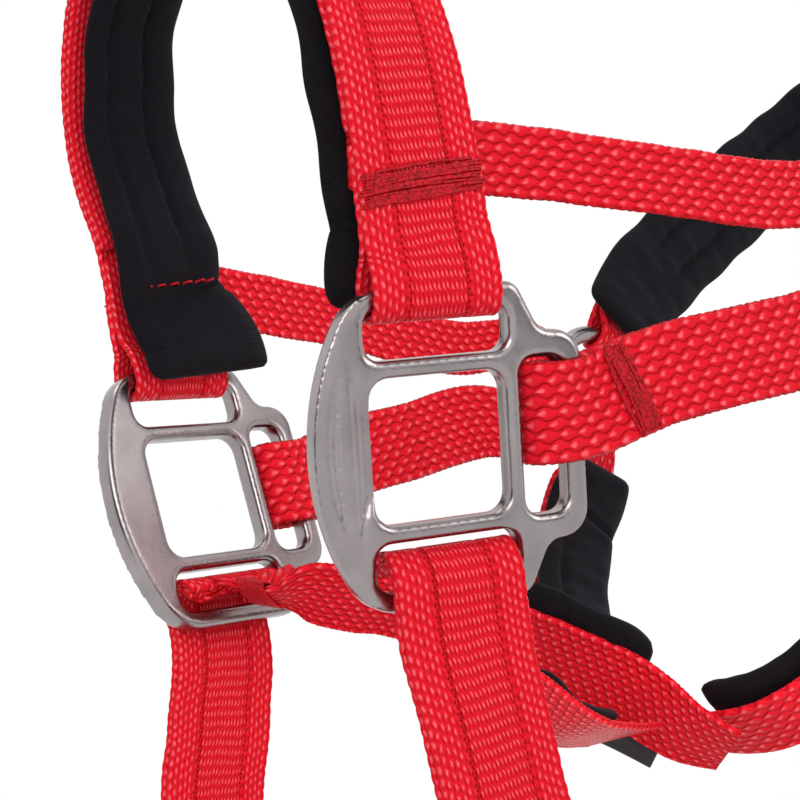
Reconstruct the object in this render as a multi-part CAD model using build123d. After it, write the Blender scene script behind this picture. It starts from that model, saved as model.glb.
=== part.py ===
"""Padded head halter for a pony: webbing straps sewn into loops round two cast nose
fittings and two cheek rings, with a buckled crown, a throat strap and a chin loop."""
import os
from math import cos, exp, radians, sin, sqrt

from build123d import *

# The halter's frame, mm: X runs to the back of the head, the near side is at -Y, Z is up,
# and the origin lies midway between the two nose fittings.
NEAR = -1
FAR = 1

# ---- cast nose fittings
fitting_spread = 104.0        # middle of one fitting to the middle of the other
fitting_yaw = 10.4            # degrees that the rear end stands further out
fitting_splay = 10.7          # degrees that the top leans out
fitting_depth = 5.6
fitting_round = 1.5           # rounding of the cast edges
window_length = 32.0
window_height = 31.0
window_corner = 4.5
bar_width = 3.8               # bars round the middle window
slot_height = 10.4            # upper and lower strap slots
slot_corner = 3.6
rim_width = 4.4               # outer bar of each strap slot
rear_slot_length = 10.6
rear_slot_height = 34.2
rear_bar = 4.9
bow_width = 13.4              # from the window to the front of the bow
bow_bead = 4.6                # rounded bead along the bow
shoulder_radius = 13.0        # where the bow turns into the upper and lower rims
dish_depth = 1.3              # hollow between the bead and the window

# ---- webbing
webbing = 1.8                 # thickness of the wide webbing
narrow_webbing = 1.5          # thickness of the cheek, face, crown and throat webbing
lay_gap = 0.3                 # between layers that lie on each other
face_gap = 0.8                # each side of the face strap where it is sewn in
noseband_width = 30.0
cheek_width = 22.0
face_width = 16.0
crown_width = 22.0
throat_width = 22.0
seat = 0.35                   # between a strap fold and the metal it goes round
return_length = 26.0          # how far a sewn end comes back from its fold

# ---- noseband arch
arch_half_width = 63.0
arch_start = 78.0             # height where the straight legs become the arch
arch_rise = 67.0
arch_shoulder = 0.85          # under 1 makes the arch squarer than an ellipse
arch_lean = 5.0               # how far the top leans forward
leg_start = 46.0              # height where the two layers come together above the fitting
face_strap_height = 61.0

# ---- pads
pad_thickness = 5.0
# Noseband pad: height, width, shift to the rear and shift inward, on each leg from below.
noseband_pad_cut = {
    -1: ((30, 38, 0.6, 0), (78, 38, 0.6, 0), (120, 31, 0, 0), (145, 26, -0.8, 0)),
    1: ((30, 37, 11, 3), (36, 35, 5, 1.5), (46, 32, -0.2, 0), (64, 31.5, 0.2, 0), (78, 28.5, 0.7, 0),
        (120, 24.5, -0.5, 0), (145, 26, -0.8, 0))}
crown_pad_width = 34.0
throat_pad_width = 28.0
jaw_pad_width = 24.0

# ---- cheek rings
ring_radius = 17.0            # to the middle of the wire
ring_wire = 5.5               # wire diameter
ring_yaw = 7.0
near_ring_at = (152.0, 78.0, 34.0)
far_ring_at = (159.0, 72.0, 22.0)
cheek_pinch = 11.0            # strap widths where they are gathered in a ring
face_pinch = 9.0
crown_pinch = 14.0
throat_pinch = 12.0

# ---- crown and its buckle
crown_half_width = 82.0
crown_bend_at = (272.0, 101.5)    # X and Z where the crown starts to turn over the poll
crown_slope = 31.0                # degrees above level
crown_rise = 70.0                 # from the bend to the top, along the slope
billet_length = 60.0              # cheek ring to the buckle's heel bar
buckle_wire = 4.4
buckle_span = 24.0                # heel bar to tip bar
buckle_side_gap = 1.6             # each side of the strap
roller_wall = 1.0
running_gap = 0.08
tongue_wire = 3.0
tail_length = 42.0                # strap past the heel bar
hole_diameter = 6.4
hole_pitch = 17.0
keeper_length = 9.0
keeper_wall = 1.3
keeper_gap = 0.4
keeper_place = 25.0               # from the heel bar

# ---- chin loop and lead ring
chin_drop = 92.0              # depth where the legs start to turn under the chin
chin_bottom = 132.0
lead_wire = 6.0
lead_gap = 2.0                # each side of the chin loop
lead_drop = 30.0              # bar to the lowest point of the bow
lead_corner = 4.5

# ---- under the jaw, labels and stitching
jaw_width = 22.0
tack_height = 0.6
whipping_length = 9.0
whipping_wall = 1.1
gathered_width = 11.0
label_length = 17.5
label_height = 12.0
label_thickness = 0.8

half_height = window_height / 2 + bar_width + slot_height + rim_width
rim_height = half_height - rim_width / 2
rear_slot_start = window_length / 2 + bar_width
rear_end = rear_slot_start + rear_slot_length + rear_bar
wire = ring_wire / 2


# ---------------------------------------------------------------- frames and straps
class Frame:
    """A place on the halter with its own rear, up and outward directions."""

    def __init__(self, origin, rear, up, out):
        self.origin = Vector(*origin)
        self.rear = rear
        self.up = up
        self.out = out

    def at(self, rear, up, out):
        return self.origin + self.rear * rear + self.up * up + self.out * out

    def turn(self, rear, up, out):
        return self.rear * rear + self.up * up + self.out * out


def side_frame(origin, yaw, splay, side):
    """The frame of a flat piece beside the head, turned and leaning with the face."""
    y, s = radians(yaw), radians(splay)
    x0, y0, z0 = origin
    return Frame(
        (x0, side * y0, z0),
        Vector(cos(y), side * sin(y), 0),
        Vector(-sin(y) * sin(s), side * cos(y) * sin(s), cos(s)),
        Vector(-sin(y) * cos(s), side * cos(y) * cos(s), -sin(s)))


def squared(line):
    """Each station's outward direction made square to the way that the strap runs."""
    stations = []
    for i, (point, outward, width) in enumerate(line):
        after = line[min(i + 1, len(line) - 1)][0]
        before = line[max(i - 1, 0)][0]
        along = (after - before).normalized()
        outward = (outward - along * outward.dot(along)).normalized()
        stations.append((point, outward, width))
    return stations


def laid(line, shift, width=None):
    """The same run of strap, moved outward by shift."""
    return [(p + out * shift, out, width or w) for p, out, w in squared(line)]


def turned(line, shift):
    """The way back along the same run, on its other face."""
    return [(p - out * shift, out * -1, w) for p, out, w in reversed(squared(line))]


def ribbon(line, thickness):
    """A strap of the given thickness through a line of stations."""
    sections = []
    stations = squared(line)
    for i, (point, outward, width) in enumerate(stations):
        after = stations[min(i + 1, len(stations) - 1)][0]
        before = stations[max(i - 1, 0)][0]
        across = (after - before).normalized().cross(outward) * (width / 2)
        lift = outward * (thickness / 2)
        corners = [point + across + lift, point - across + lift,
                   point - across - lift, point + across - lift]
        sections.append(Wire.make_polygon(corners, close=True))
    return Solid.make_loft(sections, ruled=True)


def bend(centre, first, second, radius, start, end, width, steps=8):
    """Stations of a fold about a bar: angles run from the first direction to the second."""
    stations = []
    for i in range(steps + 1):
        angle = radians(start + (end - start) * i / steps)
        spoke = first * cos(angle) + second * sin(angle)
        stations.append((centre + spoke * radius, spoke, width))
    return stations


def points(frame_points, outward, width):
    return [(Vector(*p), outward, width) for p in frame_points]


def save(name, *solids):
    os.makedirs("parts", exist_ok=True)
    shape = solids[0] if len(solids) == 1 else Compound(children=list(solids))
    shape.label = name
    export_step(shape, f"parts/{name}.step")


# ---------------------------------------------------------------- cast nose fittings
def slot(x_low, x_high, y_low, y_high, corner):
    with Locations(((x_low + x_high) / 2, (y_low + y_high) / 2)):
        RectangleRounded(x_high - x_low, y_high - y_low, corner, mode=Mode.SUBTRACT)


def cast_fitting():
    """Bow at the front, three strap slots and a middle window, in its own flat frame."""
    bow = window_length / 2 + bow_width
    over, up = bow - 11, half_height - shoulder_radius
    bow_radius = (over ** 2 + up ** 2 - shoulder_radius ** 2) / (2 * (over - shoulder_radius))
    reach = bow_radius / (bow_radius - shoulder_radius)
    meet = (bow_radius - bow + (over - bow_radius) * reach, up * reach)
    post = window_length / 2 + bar_width
    slot_low = window_height / 2 + bar_width
    slot_high = slot_low + slot_height
    wing = rear_slot_height / 2 + 5.3
    with BuildPart() as fitting:
        with BuildSketch():
            with BuildLine():
                FilletPolyline(
                    (-11, half_height), (post, half_height), (post + 5.5, wing + 0.8),
                    (rear_end, wing), (rear_end, -wing), (post + 5.5, -wing - 0.8),
                    (post, -half_height), (-11, -half_height),
                    radius=[4, 4.5, 6.5, 6.5, 4.5, 4])
                TangentArc((-11, half_height), meet, tangent=(-1, 0))
                ThreePointArc(meet, (-bow, 0), (meet[0], -meet[1]))
                TangentArc((-11, -half_height), (meet[0], -meet[1]), tangent=(-1, 0))
            make_face()
            slot(-window_length / 2, window_length / 2, -window_height / 2, window_height / 2,
                 window_corner)
            slot(rear_slot_start, rear_slot_start + rear_slot_length,
                 -rear_slot_height / 2, rear_slot_height / 2, slot_corner)
            for low, high in ((slot_low, slot_high), (-slot_high, -slot_low)):
                slot(-window_length / 2 - 0.5, window_length / 2 + 1.4, low, high, slot_corner)
        extrude(amount=fitting_depth / 2, both=True)
        rims = fitting.edges().filter_by(
            lambda e: abs(abs(e.center().Z) - fitting_depth / 2) < 0.01)
        fillet(rims, fitting_round)
        with BuildSketch(Plane.XY.offset(fitting_depth / 2)):
            with BuildLine():
                edge = window_length / 2
                ThreePointArc((-21, -22.5), (bow_bead - bow, 0), (-21, 22.5))
                Polyline((-21, 22.5), (-edge - 2.4, window_height / 2 - 1),
                         (-edge - 2.4, 1 - window_height / 2), (-21, -22.5))
            make_face()
        extrude(amount=-dish_depth, mode=Mode.SUBTRACT)
    return fitting.part


frames = {side: side_frame((0, fitting_spread / 2, 0), fitting_yaw, fitting_splay, side)
          for side in (NEAR, FAR)}
near_plane = Plane(frames[NEAR].origin, x_dir=frames[NEAR].rear, z_dir=frames[NEAR].out)
near_fitting = near_plane.location * cast_fitting()
save("near_fitting", near_fitting)
save("far_fitting", near_fitting.mirror(Plane.XZ))


# ---------------------------------------------------------------- noseband
def far_sag(height):
    """How far inward the far leg of the noseband gives way above its fitting."""
    return 6.0 * exp(-((height - 66) / 17) ** 2)


def across_head(line):
    """The same stations on the other side of the head, in the opposite order."""
    flip = [(Vector(p.X, -p.Y - far_sag(p.Z), p.Z), Vector(o.X, -o.Y, o.Z), w)
            for p, o, w in line]
    return flip[::-1]


bar_clear = fitting_depth / 2 + 0.11 + seat
fold_radius = bar_clear + webbing / 2
lay = (webbing + lay_gap) / 2
near_rim = frames[NEAR].at(0.4, rim_height, 0)
noseband_x = -4.5
untwist_height = 100.0


def noseband_station(height=None, turn=0.0):
    """A station of the near half: a height on the leg, or an angle round the arch."""
    if height is None:
        height = arch_start + arch_rise * sin(radians(turn))
    if height <= arch_start:
        toe = (arch_start - height) / (arch_start - near_rim.Z)
        y = -arch_half_width + (arch_half_width + near_rim.Y) * toe ** 2
        x = near_rim.X * toe + noseband_x * (1 - toe)
    else:
        y = -arch_half_width * cos(radians(turn)) ** arch_shoulder
        x = noseband_x - arch_lean * (height - arch_start) / arch_rise
    yaw = radians(fitting_yaw * max(0, (untwist_height - height) / (untwist_height - near_rim.Z)))
    lean = radians(turn)
    outward = Vector(-sin(yaw) * cos(lean), -cos(yaw) * cos(lean), sin(lean))
    return (Vector(x, y, height), outward, noseband_width)


leg = [noseband_station(height=h) for h in (leg_start, 52, 58, 64)]
upper_leg = [noseband_station(height=h) for h in (67, 72)]
arch = [noseband_station(turn=a) for a in range(0, 91, 10)]


def rim_station(side, up, out, facing, width=noseband_width, rear=0.4):
    frame = frames[side]
    return (frame.at(rear, up, out), frame.turn(*facing), width)


inward, outward = (0, 0, -1), (0, 0, 1)
noseband_end = (
    turned(leg, lay)
    + [rim_station(NEAR, 41, -fold_radius * 0.6, inward),
       rim_station(NEAR, 36.5, -fold_radius * 0.92, inward)]
    + bend(near_rim, frames[NEAR].out * -1, frames[NEAR].up * -1, fold_radius, 0, 180,
           noseband_width)
    + [rim_station(NEAR, 36.5, fold_radius * 0.92, outward),
       rim_station(NEAR, 41, fold_radius * 0.6, outward)]
    + laid(leg + upper_leg + arch, lay))
save("noseband_outer_layer", ribbon(noseband_end + across_head(noseband_end[:-1]), webbing))

inner_half = laid(upper_leg + arch, -lay)
save("noseband_inner_layer", ribbon(inner_half + across_head(inner_half[:-1]), webbing))

face_depth = lay + webbing / 2 + face_gap + narrow_webbing / 2
pad_depth = face_depth + narrow_webbing / 2 + face_gap + pad_thickness / 2
pad_low_depth = fold_radius + webbing / 2 + lay_gap + pad_thickness / 2
pad_half = (
    [rim_station(NEAR, up, -pad_low_depth, outward, rear=-1.5) for up in (34, 39)]
    + laid(leg + upper_leg + arch, -pad_depth))


def pad_cut(side, height):
    """The pad's width, rearward and inward shift at a height on one side."""
    rows = noseband_pad_cut[side]
    height = min(max(height, rows[0][0]), rows[-1][0])
    for low, high in zip(rows, rows[1:]):
        if height <= high[0]:
            share = (height - low[0]) / (high[0] - low[0])
            return [a + (b - a) * share for a, b in zip(low[1:], high[1:])]


pad_line = []
for point, out, _ in pad_half + across_head(pad_half[:-1]):
    side = NEAR if point.Y < 0 else FAR
    width, rearward, inward_shift = pad_cut(side, point.Z)
    pad_line.append((point + Vector(rearward, -side * inward_shift, 0), out, width))
save("noseband_pad", ribbon(pad_line, pad_thickness))


# ---------------------------------------------------------------- cheek rings
def ring_frame(at, side):
    return side_frame(at, ring_yaw, 3.0, side)


rings = {NEAR: ring_frame(near_ring_at, NEAR), FAR: ring_frame(far_ring_at, FAR)}
for side, name in ((NEAR, "near"), (FAR, "far")):
    ring = rings[side]
    save(f"{name}_cheek_ring",
         Plane(ring.origin, x_dir=ring.rear, z_dir=ring.out).location
         * Torus(ring_radius, wire))

narrow_lay = (narrow_webbing + lay_gap) / 2
ring_fold = wire + seat + narrow_webbing / 2


def ring_end(side, angle, pinch, arriving):
    """A strap's end: in along the outer face, round the ring's wire, back along the inner."""
    ring = rings[side]
    spoke = ring.turn(cos(radians(angle)), sin(radians(angle)), 0)
    hub = sqrt(ring_radius ** 2 - (pinch / 2) ** 2)
    last, facing_out, width = arriving
    middle = (pinch + width) / 2

    def station(radial, out, facing, w):
        return (ring.origin + spoke * radial + ring.out * out, ring.out * facing, w)

    gathering = [station(hub + 13, narrow_lay, 1, middle),
                 station(hub + 7, ring_fold * 0.72, 1, (pinch + middle) / 2),
                 station(hub + 3.5, ring_fold * 0.97, 1, pinch)]
    neck = ring.origin + spoke * (hub + 13)
    stitched = neck + (last - neck).normalized() * (return_length - 13)
    return (
        gathering
        + bend(ring.origin + spoke * hub, ring.out, spoke * -1, ring_fold, 0, 180, pinch)
        + [(p - ring.out * 2 * (p - neck).dot(ring.out), ring.out * -1, w)
           for p, _, w in reversed(gathering)]
        + [(stitched - facing_out * narrow_lay, facing_out * -1, width * 0.96)])


# ---------------------------------------------------------------- cheek straps
rear_bar_x = rear_slot_start + rear_slot_length + rear_bar / 2
cheek_up = {NEAR: 4.9, FAR: 1.0}
cheek_run = {
    NEAR: [((52, -66.0, 9.6), 9), ((72, -70.4, 12.2), 8), ((94, -73.4, 14.8), 6)],
    FAR: [((52, 62.6, 6.0), 9), ((80, 66.0, 10.0), 7), ((108, 68.5, 14.0), 6)]}
cheek_angle = {NEAR: 205, FAR: 202}


def cheek_line(side):
    """Stations from the sewn inner layer, round the fitting's rear bar, to the cheek ring."""
    frame = frames[side]
    loose = 5.0
    grip = ring_fold + 0.4
    up = cheek_up[side]

    def station(rear, out, facing):
        return (frame.at(rear, up + (rear - rear_bar_x) * 0.12, out),
                frame.turn(0, 0, facing), cheek_width)

    turn_at = frame.at(rear_slot_start + grip + narrow_webbing / 2 + 1.0, up, 0)
    run = [(Vector(*p), Vector(-sin(radians(yaw)), side * cos(radians(yaw)), 0), cheek_width)
           for p, yaw in cheek_run[side]]
    return (
        turned(run[:2], narrow_lay)
        + [station(rear_bar_x + loose, -grip * 0.8, -1), station(rear_bar_x, -grip, -1)]
        + bend(turn_at, frame.out * -1, frame.rear * -1, grip, 0, 180, cheek_width)
        + [station(rear_bar_x, grip, 1), station(rear_bar_x + loose, grip * 0.8, 1)]
        + laid(run, narrow_lay)
        + ring_end(side, cheek_angle[side], cheek_pinch, run[-1]))


save("near_cheek_strap", ribbon(cheek_line(NEAR), narrow_webbing))
save("far_cheek_strap", ribbon(cheek_line(FAR), narrow_webbing))


# ---------------------------------------------------------------- face straps
face_fall = {NEAR: 0.135, FAR: 0.2}
face_at = {NEAR: 61.5, FAR: 55.0}
face_run = {NEAR: [((55, -68.0, 54.6), 8), ((96, -73.4, 49.2), 7)],
            FAR: [((59, 65.0, 47.0), 5), ((108, 69.0, 36.6), 5)]}
face_angle = {NEAR: 146, FAR: 150}
face_ends = {NEAR: (-13.5, -5, 7, 20), FAR: (-8, -2, 7, 20)}   # from the noseband's middle


def face_strap(side):
    below, here, above = [noseband_station(height=face_at[side] + d) for d in (-1, 0, 1)]
    point, out, _ = squared([below, here, above])[1]
    rear = (above[0] - below[0]).normalized().cross(out)

    held = []
    for s in face_ends[side]:
        spot = point + rear * s - out * face_depth + Vector(0, 0, -face_fall[side] * s)
        facing = Vector(out.X, out.Y, out.Z)
        if side == FAR:
            tilt = (far_sag(spot.Z + 1) - far_sag(spot.Z - 1)) / 2
            spot, facing, _ = across_head([(spot, facing, 0)])[0]
            facing = facing + Vector(0, 0, tilt)
        held.append((spot, facing, face_width))
    run = [(Vector(*p), Vector(-sin(radians(yaw)), side * cos(radians(yaw)), 0), face_width)
           for p, yaw in face_run[side]]
    return ribbon(
        held + laid(run, narrow_lay) + ring_end(side, face_angle[side], face_pinch, run[-1]),
        narrow_webbing)


save("near_face_strap", face_strap(NEAR))
save("far_face_strap", face_strap(FAR))


# ---------------------------------------------------------------- crown and its buckle
slope = Vector(cos(radians(crown_slope)), 0, sin(radians(crown_slope)))
bend_x, bend_z = crown_bend_at
near_bend = Vector(bend_x, -crown_half_width, bend_z)
crown_angle = {NEAR: 38, FAR: 54}
near_hub = rings[NEAR].at(ring_radius * cos(radians(crown_angle[NEAR])),
                          ring_radius * sin(radians(crown_angle[NEAR])), 0)
near_run = (near_bend - near_hub).normalized()
near_across = near_run.cross(Vector(0, -1, 0)).normalized()
near_out = near_across.cross(near_run)
buckle = Frame(near_hub + near_run * billet_length, near_run, near_across, near_out)
heel_radius = buckle_wire / 2
roller_radius = heel_radius + running_gap + roller_wall
heel_fold = heel_radius + seat + narrow_webbing / 2
over_billet = narrow_lay + narrow_webbing + lay_gap
behind_tip = roller_radius + lay_gap + narrow_webbing / 2
over_heel = heel_fold + narrow_webbing + lay_gap


def buckle_station(along, out, facing=1, width=crown_width):
    return (buckle.at(along, 0, out), buckle.out * facing, width)


def arch_over_poll(turn):
    t = radians(turn)
    spread = Vector(0, crown_half_width * cos(t), 0)
    point = Vector(bend_x, 0, bend_z) + slope * (crown_rise * sin(t)) + spread
    facing = slope * (sin(t) / crown_rise) + Vector(0, cos(t) / crown_half_width, 0)
    return (point, facing.normalized(), crown_width)


far_leg = points([(246, 80.8, 88), (222, 79.4, 75), (200, 77.8, 62.5), (187, 76.2, 54.5)],
                 Vector(0, 1, 0), crown_width)
poll = [arch_over_poll(a) for a in range(0, 181, 12)]
strap_hole = Vector(8.8, 0, 2.6)
into_buckle = [buckle_station(a, o) for a, o in (
    (60, 0), (46, -0.8), (34, -behind_tip * 0.8), (28, -behind_tip), (20, -behind_tip),
    (16, -behind_tip * 0.86), (13, -1.8), (7, over_heel * 0.74), (4, over_heel * 0.97),
    (0, over_heel + 0.1), (-5, over_heel * 0.93), (-11, over_billet * 1.2),
    (-15, over_billet), (-36, over_billet), (-tail_length, over_billet + 0.7))]
far_end = ring_end(FAR, crown_angle[FAR], crown_pinch, far_leg[-1])
crown_line = far_end[::-1] + laid(far_leg[::-1], narrow_lay) + poll + into_buckle
crown = ribbon(crown_line, narrow_webbing)


def across_hole(along, out, tilt, diameter, depth):
    """A round cutter through the near strap, square to it where it slopes by tilt degrees."""
    axis = buckle.rear * sin(radians(tilt)) + buckle.out * cos(radians(tilt))
    return Plane(buckle.at(along, 0, out), z_dir=axis).location * Cylinder(diameter / 2, depth)


crown -= across_hole(strap_hole.X, strap_hole.Z, 50, hole_diameter, 6)
for along in (-20, -20 - hole_pitch):
    crown -= across_hole(along, over_billet, 0, hole_diameter - 1.6, 3)
save("crown_strap", crown)

over_ring = points([(169, 71.3, 38.5), (177, 74.4, 47)], Vector(0, 1, 0), crown_width)
crown_pad_line = [(p, o, crown_pad_width) for p, o, w in over_ring + far_leg[::-1] + poll]
crown_pad_depth = narrow_lay + narrow_webbing + lay_gap + pad_thickness / 2
save("crown_pad", ribbon(laid(crown_pad_line, -crown_pad_depth), pad_thickness))

billet = ribbon(
    [buckle_station(-27, -narrow_lay, -1), buckle_station(-12, -narrow_lay, -1),
     buckle_station(-5, -heel_fold * 0.8, -1)]
    + bend(buckle.origin, buckle.out * -1, buckle.rear, heel_fold, 0, 180, crown_width, 12)
    + [buckle_station(-5, heel_fold * 0.8), buckle_station(-12, narrow_lay),
       buckle_station(-38, narrow_lay + 0.1)]
    + ring_end(NEAR, crown_angle[NEAR], crown_pinch, buckle_station(-38, 0)),
    narrow_webbing)
eye_radius = heel_radius + running_gap + 1.1
eye_width = 4.4
tongue_slot = Plane(buckle.at(-1.5, 0, 0), x_dir=buckle.rear, z_dir=buckle.out).location * Box(
    15, eye_width + 1.2, 12)
billet -= tongue_slot
save("crown_billet", billet)

side_bar = crown_width / 2 + buckle_side_gap + heel_radius
across_axis = Plane(buckle.origin, x_dir=buckle.rear, z_dir=buckle.up)
with BuildPart() as frame_part:
    with BuildLine(Plane(buckle.origin, x_dir=buckle.rear, z_dir=buckle.out)) as frame_line:
        FilletPolyline(
            (0, side_bar), (0, -side_bar), (buckle_span, -side_bar), (buckle_span, side_bar),
            close=True, radius=3.2)
    with BuildSketch(Plane(frame_line.line @ 0, z_dir=frame_line.line % 0)):
        Circle(heel_radius)
    sweep()
save("buckle_frame", frame_part.part)

roller_length = crown_width - 2.0
tip = Plane(buckle.at(buckle_span, 0, 0), x_dir=buckle.rear, z_dir=buckle.up)
roller = tip.location * (
    Cylinder(roller_radius, roller_length) - Cylinder(heel_radius + running_gap, roller_length))
save("buckle_roller", roller)

tongue_radius = tongue_wire / 2
tongue_seat = roller_radius + tongue_radius + 0.12
tongue_start = buckle.at(heel_radius + 0.7, 0, 0.9)
tongue_end = buckle.at(buckle_span + 2.6, 0, tongue_seat + 0.6)
tongue_arm = Plane((tongue_start + tongue_end) * 0.5, z_dir=tongue_end - tongue_start).location
tongue = tongue_arm * Cylinder(tongue_radius, (tongue_end - tongue_start).length)
eye = across_axis.location * Cylinder(eye_radius, eye_width)
tongue = (tongue + eye) - across_axis.location * Cylinder(heel_radius + running_gap, eye_width * 2)
save("buckle_tongue", tongue)

stack_low = -narrow_lay - narrow_webbing / 2 - keeper_gap
stack_high = over_billet + narrow_webbing / 2 + keeper_gap
keeper_plane = Plane(buckle.at(-keeper_place, 0, (stack_low + stack_high) / 2),
                     x_dir=buckle.up, z_dir=buckle.rear)
keeper_inner = (crown_width + 2 * keeper_gap, stack_high - stack_low)
with BuildPart(keeper_plane) as keeper:
    with BuildSketch(keeper_plane):
        RectangleRounded(keeper_inner[0] + 2 * keeper_wall, keeper_inner[1] + 2 * keeper_wall, 1.5)
        Rectangle(keeper_inner[0], keeper_inner[1], mode=Mode.SUBTRACT)
    extrude(amount=keeper_length / 2, both=True)
save("crown_keeper", keeper.part)


# ---------------------------------------------------------------- throat strap
throat_run = [
    (Vector(*p), Vector(*o), throat_width) for p, o in (
        ((146.7, 71, -9), (-0.2, 0.97, -0.1)), ((137, 69, -20), (-0.15, 0.97, -0.2)),
        ((128, 64.5, -32), (-0.2, 0.92, -0.35)), ((118, 56, -45.5), (-0.3, 0.78, -0.55)),
        ((109.5, 42, -58.5), (-0.4, 0.55, -0.72)), ((106, 22, -68.5), (-0.45, 0.25, -0.85)),
        ((104, 4.5, -75.3), (-0.5, 0, -0.86)), ((107.2, -12.5, -78.7), (-0.52, -0.25, -0.82)),
        ((113.5, -26.5, -77.8), (-0.45, -0.5, -0.74)), ((124, -40, -70), (-0.35, -0.7, -0.62)),
        ((137, -57, -52), (-0.25, -0.85, -0.45)), ((146, -70, -27), (-0.15, -0.95, -0.25)),
        ((151, -77, -4), (-0.05, -1, -0.1)))]
throat_angle = {NEAR: 268, FAR: 250}
throat_line = (
    ring_end(FAR, throat_angle[FAR], throat_pinch, throat_run[0])[::-1]
    + laid(throat_run, narrow_lay)
    + ring_end(NEAR, throat_angle[NEAR], throat_pinch, throat_run[-1]))
save("throat_strap", ribbon(throat_line, narrow_webbing))

throat_pad_depth = narrow_lay + narrow_webbing + 3 * lay_gap + pad_thickness / 2
lip = [(Vector(149.3, 70.2, -3.5), Vector(-0.2, 0.97, -0.1), throat_width)]
for name, stations in (("far_throat_pad", lip + throat_run[:6]),
                       ("near_throat_pad", throat_run[7:])):
    save(name, ribbon(laid(stations, -throat_pad_depth, throat_pad_width), pad_thickness))


# ---------------------------------------------------------------- chin loop and lead ring
chin_turn = (-28.6, 0.8)      # up and out, in the fitting's frame, of the loop's fold
chin_radius = {"inner": 4.75, "outer": 6.85}
chin_middle = 3.4             # the loop hangs a little to the far side
chin_half_width = 55.7
chin_lean = 6.0               # the near leg hangs this far back and the far leg forward


def over_rim(side, radius):
    """The end of one layer: up inside the slot, over the rim, down in front."""
    frame = frames[side]
    stations = []
    for turn in range(150, -1, -15):
        c, s = cos(radians(turn)), sin(radians(turn))
        stations.append((frame.at(0.4, chin_turn[0] + radius * s, chin_turn[1] + radius * c),
                         frame.turn(0, s, c), noseband_width))
    return stations + [(frame.at(0.4, -34, chin_turn[1] + radius), frame.out, noseband_width)]


near_chin_leg = points([(2.2, -52.3, -58), (4.2, -52.3, -74), (6, -52.3, -chin_drop)],
                       Vector(-0.1, -1, 0), noseband_width)
far_chin_leg = points([(-6, 59, -chin_drop), (-4.6, 57, -74), (-1.8, 54.5, -58)],
                      Vector(-0.1, 1, 0), noseband_width)
chin_curve = [
    (Vector(chin_lean * cos(t), chin_middle - chin_half_width * cos(t),
            -chin_drop - (chin_bottom - chin_drop) * sin(t)),
     Vector(-0.1 * abs(cos(t)), -cos(t), -sin(t) * 1.3), noseband_width)
    for t in (radians(a) for a in range(10, 171, 10))]
for layer, shift in (("outer", lay), ("inner", -lay)):
    hanging = laid(near_chin_leg + chin_curve + far_chin_leg, shift)
    loop = (over_rim(NEAR, chin_radius[layer]) + hanging
            + over_rim(FAR, chin_radius[layer])[::-1])
    save(f"chin_loop_{layer}_layer", ribbon(loop, webbing))

lead_bar = Vector(
    0, chin_middle, -chin_bottom + lay + webbing / 2 + lead_wire / 2 + seat)
lead_half = noseband_width / 2 + lead_gap + lead_wire / 2
with BuildPart() as lead_part:
    with BuildLine(Plane(lead_bar, x_dir=(1, 0, 0), z_dir=(0, -1, 0))) as lead_line:
        turn = lead_half - lead_corner
        knee = lead_half - lead_drop
        slant = lead_corner * sin(radians(45))
        Line((-turn, 0), (turn, 0))
        ThreePointArc((turn, 0), (turn + slant, slant - lead_corner), (lead_half, -lead_corner))
        Line((lead_half, -lead_corner), (lead_half, knee))
        ThreePointArc((lead_half, knee), (0, -lead_drop), (-lead_half, knee))
        Line((-lead_half, knee), (-lead_half, -lead_corner))
        ThreePointArc((-lead_half, -lead_corner), (-turn - slant, slant - lead_corner),
                      (-turn, 0))
    with BuildSketch(Plane(lead_line.line @ 0, z_dir=lead_line.line % 0)):
        Circle(lead_wire / 2)
    sweep()
save("lead_ring", lead_part.part)


# ---------------------------------------------------------------- jaw straps
def jaw_line(side, inside, world, gather):
    """Stations from the lower slot, through the whipping, to the crossing under the jaw."""
    frame = frames[side]
    line = [(frame.at(*p), frame.turn(*o), w) for p, o, w in inside]
    line += [(Vector(*p), Vector(*o), w) for p, o, w in world]
    middle, out, width = line[gather]
    along = (line[gather + 1][0] - line[gather - 1][0]).normalized()
    both = [(middle + along * s, out, width) for s in (-whipping_length / 2 - 1,
                                                       whipping_length / 2 + 1)]
    return line[:gather] + both + line[gather + 1:], middle, out, along


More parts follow.
